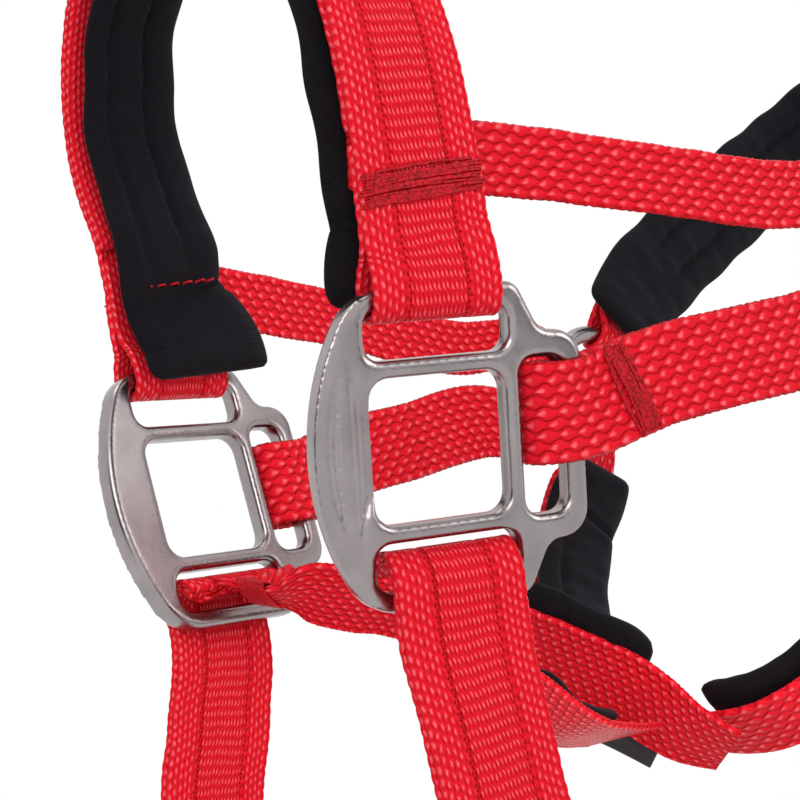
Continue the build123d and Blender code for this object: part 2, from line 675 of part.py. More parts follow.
near_jaw, near_tie, near_tie_out, near_tie_along = jaw_line(
    NEAR,
    [((0.4, -25.4, -6.6), (0, 1, 0), 30), ((0.6, -26.2, -9.2), (0.1, 0.95, -0.2), 25)],
    [((6, -36, -27.5), (0.55, 0.35, 0.75), 17), ((14, -35.5, -41.5), (0.55, 0.45, 0.65),
                                                gathered_width),
     ((29, -30, -56), (0.4, 0.35, 0.85), 18), ((44.8, -24, -67.3), (0.1, 0.2, 0.97), jaw_width),
     ((66, -13, -73), (0.1, 0.2, 0.97), jaw_width),
     ((84, -2, -76), (0.15, 0.26, 0.94), jaw_width)], 3)
far_jaw, far_tie, far_tie_out, far_tie_along = jaw_line(
    FAR,
    [((0.4, -25.4, -6.6), (0, 1, 0), 30), ((-0.8, -26, -9.2), (0, 1, 0), 24)],
    [((1.7, 31, -26.6), (0.3, 0.45, 0.84), gathered_width),
     ((7.7, 23.5, -27.6), (0.4, 0.55, 0.73), 17), ((15.4, 19.5, -29.8), (0.45, 0.65, 0.6), 20),
     ((30.8, 14, -34), (0.45, 0.65, 0.6), jaw_width),
     ((48.5, 9.5, -42), (0.45, 0.65, 0.6), jaw_width),
     ((68.2, 4.5, -52.9), (0.45, 0.65, 0.6), jaw_width),
     ((86.7, -4, -66.3), (0.45, 0.65, 0.6), jaw_width),
     ((96.2, -12, -77.7), (0.4, 0.5, 0.72), jaw_width),
     ((104, -18.5, -83.8), (0.25, 0.4, 0.87), jaw_width)], 2)
save("near_jaw_strap", ribbon(near_jaw, narrow_webbing))
save("far_jaw_strap", ribbon(far_jaw, narrow_webbing))

jaw_pad_depth = narrow_webbing / 2 + lay_gap + pad_thickness / 2


def jaw_pad(stations, above, end_width=jaw_pad_width):
    """A pad on the inner face of a jaw strap, standing above its upper edge."""
    line = []
    width = jaw_pad_width
    for i, (point, out, _) in enumerate(squared(stations)):
        after = stations[min(i + 1, len(stations) - 1)][0]
        before = stations[max(i - 1, 0)][0]
        across = (after - before).normalized().cross(out)
        if i == len(stations) - 1:
            above += (width - end_width) / 2
            width = end_width
        line.append((point + across * above + out * jaw_pad_depth, out, width))
    return ribbon(line, pad_thickness)


save("near_jaw_pad", jaw_pad(near_jaw[5:8], 0.5))
save("far_jaw_pad", jaw_pad(far_jaw[6:10], 4.5, end_width=14))


def whipping(middle, out, along):
    """Thread wound round a gathered strap."""
    plane = Plane(middle, x_dir=along.cross(out), z_dir=along)
    inner = (gathered_width + 2 * lay_gap, narrow_webbing + 2 * lay_gap)
    with BuildPart() as wound:
        with BuildSketch(plane):
            RectangleRounded(inner[0] + 2 * whipping_wall, inner[1] + 2 * whipping_wall, 1.2)
            Rectangle(*inner, mode=Mode.SUBTRACT)
        extrude(amount=whipping_length / 2, both=True)
    return wound.part


save("near_jaw_whipping", whipping(near_tie, near_tie_out, near_tie_along))
save("far_jaw_whipping", whipping(far_tie, far_tie_out, far_tie_along))

label_run = Vector(0.65, -0.5, -0.57).normalized()
label_drop = Vector(-0.45, 0.5, -0.9)
label_middle = Vector(90.3, 2.6, -76.7)
label_plane = Plane(label_middle, x_dir=label_run, z_dir=label_run.cross(label_drop))
save("label", label_plane.location * Box(label_length, label_height, label_thickness))


# ---------------------------------------------------------------- bar-tacks
def tack(first, second, start, end, thickness):
    """A band of thread across a strap, between two of its stations."""
    lift = thickness / 2 + 0.2 + tack_height / 2
    (p, p_out, width), (q, q_out, _) = first, second
    return ribbon(
        [(p + (q - p) * t + (p_out + (q_out - p_out) * t) * lift, p_out + (q_out - p_out) * t,
          width) for t in (start, end)], tack_height)


leg_stations = squared(noseband_end)
for i, (point, out, width) in enumerate(leg_stations[:-1]):
    after = leg_stations[i + 1]
    if point.Z < 55 < after[0].Z and out.Y < 0:
        near_pair = [(point, out, width), after]
far_pair = across_head(near_pair)
save("near_noseband_tack", tack(*near_pair, 0.1, 0.9, webbing))
save("far_noseband_tack", tack(*far_pair, 0.1, 0.9, webbing))
for side, name in ((NEAR, "near"), (FAR, "far")):
    line = squared(cheek_line(side))
    at = max(range(len(line) - 1), key=lambda i: (line[i][0].X < 44 < line[i + 1][0].X))
    save(f"{name}_cheek_tack", tack(line[at], line[at + 1], 0.25, 0.72, narrow_webbing))
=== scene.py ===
from functools import partial
from math import cos, exp, pi, radians, sin, sqrt

import bmesh
import bpy
import numpy as np
from mathutils import Matrix, Vector


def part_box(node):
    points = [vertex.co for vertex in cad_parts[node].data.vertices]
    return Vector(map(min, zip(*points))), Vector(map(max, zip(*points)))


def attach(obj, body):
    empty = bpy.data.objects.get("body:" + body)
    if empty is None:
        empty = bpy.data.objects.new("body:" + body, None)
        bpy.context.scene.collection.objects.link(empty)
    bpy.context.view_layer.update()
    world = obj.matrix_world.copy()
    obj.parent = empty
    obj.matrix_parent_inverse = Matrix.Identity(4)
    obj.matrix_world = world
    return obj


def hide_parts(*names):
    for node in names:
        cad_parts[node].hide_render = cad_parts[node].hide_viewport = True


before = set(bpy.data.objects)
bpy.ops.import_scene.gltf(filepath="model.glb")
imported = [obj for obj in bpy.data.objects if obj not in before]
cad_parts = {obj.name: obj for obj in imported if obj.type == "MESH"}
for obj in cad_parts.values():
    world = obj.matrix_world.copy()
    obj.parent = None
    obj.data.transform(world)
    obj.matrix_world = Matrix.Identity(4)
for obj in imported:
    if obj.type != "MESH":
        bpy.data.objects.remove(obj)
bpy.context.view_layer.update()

# ---------------------------------------------------------------- room, lamps and camera
# A white sweep and soft lamps, with the camera low in front of the near cheek. The halter
# hangs in its worn shape, and the floor lies just under its lead ring.
floor_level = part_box("lead_ring")[0].z - 0.004
white = (1, 1, 1, 1)


def fed(tree, node, inputs):
    """Gives each named input of a shader node its value, or another node's output."""
    for socket, value in inputs.items():
        if isinstance(value, bpy.types.NodeSocket):
            tree.links.new(value, node.inputs[socket])
        else:
            node.inputs[socket].default_value = value
    return node


def added(tree, kind, inputs, **settings):
    """A new shader node of one kind, with its settings and its inputs."""
    node = tree.nodes.new("ShaderNode" + kind)
    for setting, value in settings.items():
        setattr(node, setting, value)
    return fed(tree, node, inputs)


def new_paint(name):
    """A new material, with its tree of nodes and its main shader."""
    paint = bpy.data.materials.new(name)
    paint.use_nodes = True
    return paint, paint.node_tree, paint.node_tree.nodes["Principled BSDF"]


def seen_directly(tree):
    """One for what the camera, polished metal or clear plastic sees, else nothing."""
    path = added(tree, "LightPath", {})
    total = path.outputs["Is Camera Ray"]
    for other in ("Is Glossy Ray", "Is Transmission Ray"):
        total = added(tree, "Math", {0: total, 1: path.outputs[other]},
                      operation="MAXIMUM").outputs[0]
    return total


def backdrop_white(name, shade):
    """Pure white where it is seen, and pale paint to everything else."""
    paint, tree, principled = new_paint(name)
    fed(tree, principled, {"Base Color": (shade, shade, shade, 1), "Roughness": 0.9})
    glow = added(tree, "Emission", {"Color": white, "Strength": 1.0})
    mix = added(tree, "MixShader", {"Fac": seen_directly(tree), 1: principled.outputs["BSDF"],
                                    2: glow.outputs["Emission"]})
    fed(tree, tree.nodes["Material Output"], {"Surface": mix.outputs["Shader"]})
    return paint


bpy.ops.mesh.primitive_plane_add(size=6.0, location=(0.1, 0, floor_level))
floor = bpy.context.active_object
floor.name = "floor"
floor.data.materials.append(backdrop_white("floor_white", 0.8))

world = bpy.data.worlds.new("studio")
bpy.context.scene.world = world
world.use_nodes = True
air = world.node_tree
around = fed(air, air.nodes["Background"], {"Color": white, "Strength": 0.66})
seen = added(air, "Background", {"Color": white, "Strength": 1.0})
behind = added(air, "MixShader", {"Fac": seen_directly(air), 1: around.outputs["Background"],
                                  2: seen.outputs["Background"]})
fed(air, air.nodes["World Output"], {"Surface": behind.outputs["Shader"]})

for name, place, aim, size, power in (
        ("lamp_front", (-0.75, -0.95, 0.55), (0.0, 0.0, 0.0), 0.7, 5.7),
        ("lamp_side", (0.75, -1.1, 0.35), (0.0, 0.0, 0.0), 0.6, 3.6),
        ("lamp_top", (0.0, 0.1, 1.3), (0.05, 0.0, 0.0), 0.9, 5.6),
        ("lamp_inside", (0.04, -0.045, 0.02), (0.04, 0.1, 0.02), 0.2, 0.07)):
    lamp_data = bpy.data.lights.new(name, "AREA")
    lamp_data.size = size
    lamp_data.energy = power
    lamp = bpy.data.objects.new(name, lamp_data)
    lamp.visible_camera = lamp.visible_glossy = name != "lamp_inside"
    bpy.context.scene.collection.objects.link(lamp)
    lamp.location = place
    lamp.rotation_euler = (Vector(aim) - Vector(place)).to_track_quat("-Z", "Y").to_euler()

dark_card, tree, principled = new_paint("dark_card")
fed(tree, principled, {"Base Color": (0, 0, 0, 1)})
for name, place, size in (("card_ahead", (-0.9, -0.1, 0.1), 0.55),
                          ("card_above", (0.1, -0.75, 0.75), 0.45),
                          ("card_below", (0.35, -0.8, -0.12), 0.3)):
    bpy.ops.mesh.primitive_plane_add(
        size=size, location=place, rotation=(-Vector(place)).to_track_quat("Z", "Y").to_euler())
    card = bpy.context.active_object
    card.name = name
    card.data.materials.append(dark_card)
    card.visible_camera = card.visible_diffuse = card.visible_shadow = False


def placed(first, second, third, spot):
    """The place of an object at a spot, whose own axes lie along three directions."""
    return Matrix([(first[i], second[i], third[i], spot[i]) for i in range(3)]
                  + [(0, 0, 0, 1)])


stand = Vector((-0.22908, -0.35789, -0.01964))
azimuth, elevation, roll = radians(-35.86), radians(-4.57), radians(8.0)
ahead = Vector((-sin(azimuth) * cos(elevation), cos(azimuth) * cos(elevation),
                -sin(elevation)))
right = ahead.cross(Vector((0, 0, 1))).normalized()
upward = right.cross(ahead)
right, upward = (right * cos(roll) - upward * sin(roll),
                 upward * cos(roll) + right * sin(roll))
camera_data = bpy.data.cameras.new("camera")
camera_data.lens = 81.0
camera_data.sensor_width = 36.0
camera_data.clip_start = 0.01
camera = bpy.data.objects.new("camera", camera_data)
bpy.context.scene.collection.objects.link(camera)
camera.matrix_world = placed(right, upward, -ahead, stand)
bpy.context.scene.camera = camera
bpy.context.scene.view_settings.view_transform = "Standard"

# ---------------------------------------------------------------- cast nose fittings
# The two fittings are cast in stainless steel and tumbled to a soft shine: a dished bow in
# front, a window in the middle and three slots, with bars that swell into each other.
def ramp(tree, value, *stops):
    """The colour that a value from 0 to 1 picks, from stops of a position and a colour."""
    node = added(tree, "ValToRGB", {"Fac": value})
    elements = node.color_ramp.elements
    for i, (position, colour) in enumerate(stops):
        stop = elements[i] if i < 2 else elements.new(position)
        stop.position = position
        stop.color = (*colour, 1)
    return node.outputs["Color"]


def bumped(tree, height, strength, distance):
    """Normals that follow a height worked out by other nodes."""
    return added(tree, "Bump", {"Height": height, "Strength": strength,
                                "Distance": distance}).outputs["Normal"]


steel, tree, shine = new_paint("polished_steel")
place = added(tree, "TexCoord", {}).outputs["Object"]
clouds = added(tree, "TexNoise", {"Scale": 90.0, "Detail": 4.0, "Vector": place}).outputs["Fac"]
smears = added(tree, "TexNoise", {"Scale": 260.0, "Detail": 6.0, "Vector": place}).outputs["Fac"]
gloss = added(tree, "MapRange", {"To Min": 0.18, "To Max": 0.34, "Value": smears})
# The steel's colour carries a faint pink tint, a painted reflection of the red webbing around it;
# the clouds vary its tone at random.
fed(tree, shine, {
    "Metallic": 1.0,
    "Base Color": ramp(tree, clouds, (0.3, (0.295, 0.262, 0.265)), (0.7, (0.375, 0.335, 0.338))),
    "Roughness": gloss.outputs["Result"],
    "Normal": bumped(tree, clouds, 0.25, 0.0004)})


def finished(piece, paint, body, slot, *stands_for):
    """Paints a piece, joins it to its body and hides the solids it stands for."""
    piece.data.materials.append(paint)
    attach(piece, body)
    if stands_for:
        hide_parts(*stands_for)


def own_copy(node, name):
    """A merged copy of a CAD node's mesh, free to be worked on."""
    bpy.ops.object.select_all(action="DESELECT")
    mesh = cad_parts[node].data.copy()
    mesh.materials.clear()
    piece = bpy.data.objects.new(name, mesh)
    bpy.context.scene.collection.objects.link(piece)
    piece.select_set(True)
    bpy.context.view_layer.objects.active = piece
    bpy.ops.object.mode_set(mode="EDIT")
    bpy.ops.mesh.select_all(action="SELECT")
    bpy.ops.mesh.remove_doubles(threshold=0.00001)
    bpy.ops.object.mode_set(mode="OBJECT")
    return piece


def smoothed(piece, rounds, group=""):
    """Smooths a piece, or only the vertices of a group, each by its weight there."""
    soften = piece.modifiers.new("soften", "SMOOTH")
    soften.factor = 0.5
    soften.iterations = rounds
    soften.vertex_group = group
    bpy.ops.object.modifier_apply(modifier=soften.name)


def melted(piece, grain, rounds):
    """Corners and joins flow into each other, as on a casting or a moulding."""
    remesh = piece.modifiers.new("grain", "REMESH")
    remesh.mode = "VOXEL"
    remesh.voxel_size = grain
    bpy.ops.object.modifier_apply(modifier=remesh.name)
    smoothed(piece, rounds)
    bpy.ops.object.shade_smooth()


NEAR, FAR = -1, 1


class Bearings:
    """A place beside the head, in mm, with its own rear, up and outward directions."""

    def __init__(self, origin, rear, up, out):
        self.origin, self.rear, self.up, self.out = Vector(origin), rear, up, out

    def at(self, rear, up, out):
        return self.origin + self.rear * rear + self.up * up + self.out * out

    def turn(self, rear, up, out):
        return self.rear * rear + self.up * up + self.out * out


def beside_head(origin, yaw, splay, side):
    """Bearings on one side, turned by yaw and leaning out by splay, both in degrees."""
    y, s = radians(yaw), radians(splay)
    return Bearings(
        (origin[0], side * origin[1], origin[2]),
        Vector((cos(y), side * sin(y), 0)),
        Vector((-sin(y) * sin(s), side * cos(y) * sin(s), cos(s))),
        Vector((-sin(y) * cos(s), side * cos(y) * cos(s), -sin(s))))


def softened(piece, chosen, rounds):
    """Smooths the chosen vertices of a piece, each by its own share."""
    group = piece.vertex_groups.new(name="soft")
    for i in np.nonzero(chosen > 0.01)[0]:
        group.add([int(i)], float(chosen[i]), "REPLACE")
    smoothed(piece, rounds, group.name)
    piece.vertex_groups.clear()


fitting_out, fitting_yaw, fitting_splay = 52.0, 10.4, 10.7
fittings = {side: beside_head((0, fitting_out, 0), fitting_yaw, fitting_splay, side)
            for side in (NEAR, FAR)}
sheet_level, bow_level, dish_depth = 1.5, 2.8, 1.35
bow_radius, bow_centre = 56.9, 27.5
corner_radius, corner_ahead, corner_up = 13.0, 11, 21.1


def dished(piece, bearings):
    """The bow's outer face hollowed from its bead to the window, and running out in a point
    beside each shoulder."""
    mesh = piece.data
    spots = np.empty(len(mesh.vertices) * 3)
    mesh.vertices.foreach_get("co", spots)
    spots = spots.reshape(-1, 3) * 1000
    axes = np.array([tuple(bearings.rear), tuple(bearings.up), tuple(bearings.out)])
    rear, up, out = ((spots - np.array(bearings.origin)) @ axes.T).T
    from_bow = bow_radius - np.hypot(rear - bow_centre, up)
    from_corner = corner_radius - np.hypot(rear + corner_ahead,
                                           np.maximum(np.abs(up) - corner_up, 0))
    from_rim = np.where(rear > -24 + 0.06 * np.abs(up), np.minimum(from_bow, from_corner),
                        from_bow)
    top = 11.5 + 12.5 * np.clip((-16 - rear) / 5.0, 0, 1.4) ** 2.0
    bead = np.clip((from_rim - 3.2) / 2.6, 0, 1)
    shoulder = np.clip((top - np.abs(up)) / 3.0, 0, 1)
    hollow = bead ** 2 * (3 - 2 * bead) * shoulder ** 2 * (3 - 2 * shoulder)
    flat = (from_rim > 1.6) & (rear < -17.2) & (out > 0.9)
    beside = (rear < -15.0) & (out > 0.9) & (np.abs(up) < 30)
    level = np.where(flat, bow_level, out)
    level = np.where(beside, np.minimum(level, bow_level - dish_depth * hollow), out)
    spots += (level - out)[:, None] * axes[2]
    mesh.vertices.foreach_set("co", (spots / 1000).reshape(-1))
    mesh.update()
    softened(piece, beside * np.clip((-14.5 - rear) / 2, 0, 1) * np.clip(from_rim - 0.6, 0, 1), 22)


for node, side in (("near_fitting", NEAR), ("far_fitting", FAR)):
    fitting = own_copy(node, node + "_cast")
    for vertex in fitting.data.vertices:
        spot = vertex.co * 1000 - fittings[side].origin
        level = spot.dot(fittings[side].out)
        if spot.dot(fittings[side].rear) < -17 and abs(level - sheet_level) < 0.1:
            vertex.co += fittings[side].out * (bow_level - level) * 0.001
    melted(fitting, grain=0.00042, rounds=7)
    dished(fitting, fittings[side])
    finished(fitting, steel, "straps", "polished_steel", node)

# ---------------------------------------------------------------- noseband
# Two layers of 30 mm nylon webbing over the nose. The outer layer goes through the upper
# slot of each fitting and is sewn back under itself with two rows of lock stitch.
def squared(line):
    """Each station's outward direction made square to the way that the strap runs."""
    stations = []
    for i, (point, outward, width) in enumerate(line):
        along = (line[min(i + 1, len(line) - 1)][0] - line[max(i - 1, 0)][0]).normalized()
        stations.append((point, (outward - along * outward.dot(along)).normalized(), width))
    return stations


def laid(line, shift, width=None):
    """The same line moved outward by shift."""
    return [(p + o * shift, o, width or w) for p, o, w in squared(line)]


def turned(line, shift):
    """The line run backwards and face down, moved inward by shift."""
    return [(p - o * shift, -o, w) for p, o, w in reversed(squared(line))]


def far_sag(height, most=6.0, most_at=66, spread=17):
    """How far inward the far leg of the noseband gives way above its fitting."""
    return most * exp(-((height - most_at) / spread) ** 2)


def across_head(line):
    """A near line as it runs on the far side, in the other direction."""
    return [(Vector((p.x, -p.y - far_sag(p.z), p.z)), Vector((o.x, -o.y, o.z)), w)
            for p, o, w in reversed(line)]


def across_path(path):
    return np.array([(x, -y - far_sag(z), z) for x, y, z in path])


def bend(centre, first, second, radius, start, end, width, steps=8):
    """Stations round a bar, from one angle to another."""
    stations = []
    for i in range(steps + 1):
        angle = radians(start + (end - start) * i / steps)
        spoke = first * cos(angle) + second * sin(angle)
        stations.append((centre + spoke * radius, spoke, width))
    return stations


def eased(line, step):
    """The stations drawn out into one smooth run, every step mm: points, outward, across."""
    stations = squared(line)
    p = np.array([tuple(s[0]) for s in stations])
    o = np.array([tuple(s[1]) for s in stations])
    w = np.array([s[2] for s in stations], float)
    span = np.linalg.norm(np.diff(p, axis=0), axis=1)
    at = np.concatenate(([0], np.cumsum(span)))
    values = np.column_stack((p, o, w))
    slope = np.diff(values, axis=0) / span[:, None]
    tangent = np.empty_like(values)
    tangent[0], tangent[-1] = slope[0], slope[-1]
    weight = (span[1:] / (span[1:] + span[:-1]))[:, None]
    tangent[1:-1] = slope[:-1] * weight + slope[1:] * (1 - weight)
    count = max(2, int(round(at[-1] / step)))
    s = np.linspace(0, at[-1], count + 1)
    i = np.clip(np.searchsorted(at, s, side="right") - 1, 0, len(span) - 1)
    h = span[i][:, None]
    t = ((s - at[i]) / span[i])[:, None]
    run = ((2 * t ** 3 - 3 * t ** 2 + 1) * values[i] + (t ** 3 - 2 * t ** 2 + t) * h * tangent[i]
           + (3 * t ** 2 - 2 * t ** 3) * values[i + 1] + (t ** 3 - t ** 2) * h * tangent[i + 1])
    point, outward, width = run[:, :3], run[:, 3:6], run[:, 6]
    along = np.gradient(point, axis=0)
    along /= np.linalg.norm(along, axis=1)[:, None]
    outward = outward - along * (outward * along).sum(1)[:, None]
    outward /= np.linalg.norm(outward, axis=1)[:, None]
    return point, outward, np.cross(along, outward), width, s


def both_faces(half):
    """Shares of the half width over a band's outer face (1) and back over its inner (-1)."""
    ring = [(x, 1) for x in half] + [(x, -1) for x in half[-2:0:-1]]
    return [np.array(values)[None, :] for values in zip(*ring)]


def swept(point, first, second, along_first, along_second):
    """Rings of points round the places of a line, laid out in its two cross directions."""
    return (point[:, None, :] + first[:, None, :] * along_first[:, :, None]
            + second[:, None, :] * along_second[:, :, None])


def band_mesh(name, grid, u, v):
    """A closed tube of quads through a grid of points in mm, with a UV map for its yarns."""
    rounds, around = grid.shape[0], grid.shape[1]
    index = np.arange(rounds * around).reshape(rounds, around)
    quads = np.stack((index[:-1], np.roll(index[:-1], -1, 1), np.roll(index[1:], -1, 1),
                      index[1:]), -1).reshape(-1, 4)
    mesh = bpy.data.meshes.new(name)
    mesh.from_pydata((grid * 0.001).reshape(-1, 3).tolist(), [],
                     quads.tolist() + [index[0][::-1].tolist(), index[-1].tolist()])
    corners = np.empty(len(mesh.loops), np.int32)
    mesh.loops.foreach_get("vertex_index", corners)
    chart = np.column_stack((u.reshape(-1)[corners], v.reshape(-1)[corners]))
    mesh.uv_layers.new(name="yarns").data.foreach_set("uv", chart.reshape(-1))
    tidy = bmesh.new()
    tidy.from_mesh(mesh)
    bmesh.ops.triangulate(tidy, faces=[f for f in tidy.faces if len(f.verts) > 4])
    if tidy.calc_volume(signed=True) < 0:
        bmesh.ops.reverse_faces(tidy, faces=tidy.faces)
    tidy.to_mesh(mesh)
    tidy.free()
    mesh.polygons.foreach_set("use_smooth", [True] * len(mesh.polygons))
    piece = bpy.data.objects.new(name, mesh)
    bpy.context.scene.collection.objects.link(piece)
    return piece


def woven_band(name, line, thickness, rows, pitch, stitches=(), step=0.9, columns=28, frill=0.3):
    """A length of webbing: a closed band whose edges are scalloped by the yarns that turn
    there, grooved where it is stitched. Its UV map counts yarns across and floats along."""
    point, outward, across, width, s = eased(line, step)
    x, face = both_faces(np.linspace(-1, 1, columns + 1))
    w, along = width[:, None], s[:, None]
    from_edge = (1 - np.abs(x)) * w / 2
    body = np.sqrt(np.clip(1 - (1 - np.clip(from_edge / (thickness * 0.45), 0, 1)) ** 2, 0, 1))
    knots = s[::7] if len(s) > 14 else s
    wave = np.interp(s, knots, np.random.default_rng(len(s)).normal(0, 0.12, len(knots)))
    scallop = frill * np.abs(np.sin(pi * along / (pitch * 0.5))) * (np.abs(x) > 0.86)
    selvage = np.exp(-((from_edge - 0.75) / 0.5) ** 2)
    lift = face * body * thickness / 2 + face * selvage * 0.16
    for stitch in stitches:
        near = np.exp(-((x * w / 2 - stitch * w / 2) / 0.62) ** 2)
        thread = np.abs(np.sin(pi * along / 3.0)) ** 0.6
        lift = lift - face * near * (0.42 - 0.30 * thread)
    grid = swept(point, across, outward, x * (w / 2 + scallop) + wave[:, None], lift)
    return band_mesh(name, grid, (x + 1) / 2 * rows * np.ones_like(along),
                     along / pitch * np.ones_like(x))


# The webbing's own red, a darker red for painted shade in its gaps and a pale red for painted
# highlights on its crowns.
red, painted_shade_red, painted_highlight_red = (0.76, 0.009, 0.021), (0.24, 0.001, 0.005), (0.94, 0.11, 0.14)


def webbing_material(name, rows, depth, slant, relief_share, rough, filament, finer=0.0,
                     lean=0.0, brick=(0.5, 0.0), pointed=0.17, uneven=0.05, gap_at=0.0,
                     glint_at=(0.3, 0.19), channels=()):
    """Nylon webbing: rows of lens-shaped floats, each float a bundle of fine filaments. The colour
    follows the height of the floats, so painted shade darkens it beside each float's end and in
    the low places, and a painted highlight makes it pale along each crown, where the specular
    also rises. The middle of the band may have finer, leaning floats. Brick is how far each row
    is set off from the last, in the middle and further out. Channels are the shares of the
    width where rows of stitching pull it in, and they take painted shade too."""
    cloth, tree, principled = new_paint(name)
    chart = added(tree, "UVMap", {}, uv_map="yarns").outputs["UV"]

    def sums(operation, *values):
        return added(tree, "Math", dict(enumerate(values)), operation=operation).outputs[0]

    scaled, times, plus, less, power, size = (
        partial(sums, operation) for operation in
        ("MULTIPLY_ADD", "MULTIPLY", "ADD", "SUBTRACT", "POWER", "ABSOLUTE"))

    def bell(offset, steepness=-1.0):
        return sums("EXPONENT", times(times(offset, offset), steepness))

    def noise(scale, detail, stretch=(1, 1, 1)):
        mapping = added(tree, "Mapping", {"Scale": stretch, "Vector": chart})
        return added(tree, "TexNoise", {"Scale": scale, "Detail": detail,
                                        "Vector": mapping.outputs["Vector"]}).outputs["Fac"]

    split = added(tree, "SeparateXYZ", {0: chart})
    u, v = split.outputs[0], split.outputs[1]
    v = scaled(less(noise(0.8, 2.0), 0.5), 0.3, v)
    sway = sums("SINE", times(v, 2 * pi))
    u = scaled(sway, 0.05, u)
    narrowing = times(sums("COSINE", times(u, pi)), sums("COSINE", times(v, 2 * pi)))
    u = scaled(narrowing, -pointed, u)
    u = scaled(less(noise(1.1, 1.0, (1, 1.7, 1)), 0.5), 0.30, u)
    side, middle_rows = less(u, rows / 2), rows * 0.23
    outer = sums("GREATER_THAN", size(side), middle_rows)
    middle = sums("MAXIMUM", sums("MINIMUM", side, middle_rows), -middle_rows)
    u = scaled(middle, finer, u)
    u = scaled(sums("FRACT", v), times(less(1.0, outer), lean), u)
    row = sums("FLOOR", u)
    in_row = scaled(less(u, row), 2.0, -1.0)
    set_off = times(row, scaled(outer, brick[1], brick[0]))
    stray = added(tree, "TexWhiteNoise", {"W": row}, noise_dimensions="1D")
    set_off = scaled(stray.outputs["Value"], uneven, set_off)
    in_float = sums("FRACT", plus(plus(v, set_off), times(in_row, slant)))
    arc = sums("SINE", times(power(in_float, 0.8), pi))
    crown = power(sums("MAXIMUM", less(1.0, power(size(in_row), 2.0)), 0.0), 0.5)
    lens = times(crown, scaled(power(arc, 0.6), 0.5, 0.5))
    full = size(sums("SINE", times(less(in_float, gap_at), pi)))
    lens = sums("MAXIMUM", lens, times(full, relief_share))
    strands = noise(1.0, 3.0, (filament, 1.1, 1.0))
    height = scaled(strands, 0.26, lens)
    for channel in channels:
        near = bell(sums("DIVIDE", less(split.outputs[0], channel * rows), 0.42))
        drawn = scaled(power(size(sway), 2.0), -0.5, 1.0)
        height = less(height, times(near, times(drawn, 0.75)))
    # Painted highlight: a pale streak along the crown of each float, put into the colour.
    shine = bell(sums("DIVIDE", less(in_float, glint_at[0]), glint_at[1]))
    painted_glint = times(times(shine, bell(in_row, -4.5)), power(strands, 0.7))
    # The colour follows this level, so gaps and stitch channels take painted shade and the crown
    # streaks a painted highlight.
    level = scaled(painted_glint, 0.47, times(height, 0.60))
    glint = added(tree, "MapRange", {"Value": level, "From Min": 0.70, "From Max": 1.0,
                                     "To Min": 0.05, "To Max": 0.55})
    fed(tree, principled, {
        "Base Color": ramp(tree, level, (0.10, painted_shade_red), (0.42, red), (0.70, red),
                           (1.0, painted_highlight_red)),
        "Specular IOR Level": glint.outputs["Result"], "Roughness": rough,
        "Sheen Weight": 0.03, "Sheen Roughness": 0.4, "Sheen Tint": (1.0, 0.3, 0.3, 1),
        "Normal": bumped(tree, height, 1.0, depth)})
    return cloth


wide_rows, wide_pitch = 21, 2.5
strap_rows, strap_pitch = 9, 4.6
wide_red = webbing_material("red_wide_webbing", wide_rows, depth=0.00042, slant=0.10,
                            relief_share=0.62, rough=0.40, filament=5.0, finer=0.38, lean=0.6,
                            brick=(0.0, 0.37), pointed=0.0, uneven=0.2, gap_at=0.78,
                            glint_at=(0.5, 0.34), channels=(0.26, 0.73))
narrow_red = webbing_material("red_narrow_webbing", strap_rows, depth=0.0008, slant=0.12,
                              relief_share=0.42, rough=0.36, filament=8.0)


def finish_band(band, paint, node):
    finished(band, paint, "straps", "red_webbing", node)


wide, webbing, layer_gap = 30.0, 1.8, 0.3
layer = (webbing + layer_gap) / 2
rim_rear, rim_up, rim_fold = 0.4, 31.9, 4.16
near_rim = fittings[NEAR].at(rim_rear, rim_up, 0)
arch_foot, arch_rise, arch_half_width = 78.0, 67.0, 63.0
foot_ahead, crest_ahead, untwist_height = 4.5, 5.0, 100.0


def noseband_station(height=None, turn=0.0):
    """The middle of the noseband at a height on its near leg, or at a turn over its arch."""
    if height is None:
        height = arch_foot + arch_rise * sin(radians(turn))
    if height <= arch_foot:
        toe = (arch_foot - height) / (arch_foot - near_rim.z)
        y = -arch_half_width + (arch_half_width + near_rim.y) * toe ** 2
        x = near_rim.x * toe - foot_ahead * (1 - toe)
    else:
        y = -arch_half_width * cos(radians(turn)) ** 0.85
        x = -foot_ahead - crest_ahead * (height - arch_foot) / arch_rise
    untwisted = (untwist_height - height) / (untwist_height - near_rim.z)
    yaw, lean = radians(fitting_yaw * max(0, untwisted)), radians(turn)
    outward = Vector((-sin(yaw) * cos(lean), -cos(yaw) * cos(lean), sin(lean)))
    return (Vector((x, y, height)), outward, wide)


def wide_band(name, node, line, **more):
    """A finished band of the wide webbing that stands for a node."""
    finish_band(woven_band(name, line, webbing, wide_rows, wide_pitch, **more), wide_red, node)


def at_rim(up, out, facing, rear=rim_rear):
    """A station beside the near fitting's upper rim."""
    return (fittings[NEAR].at(rear, up, out), fittings[NEAR].out * facing, wide)


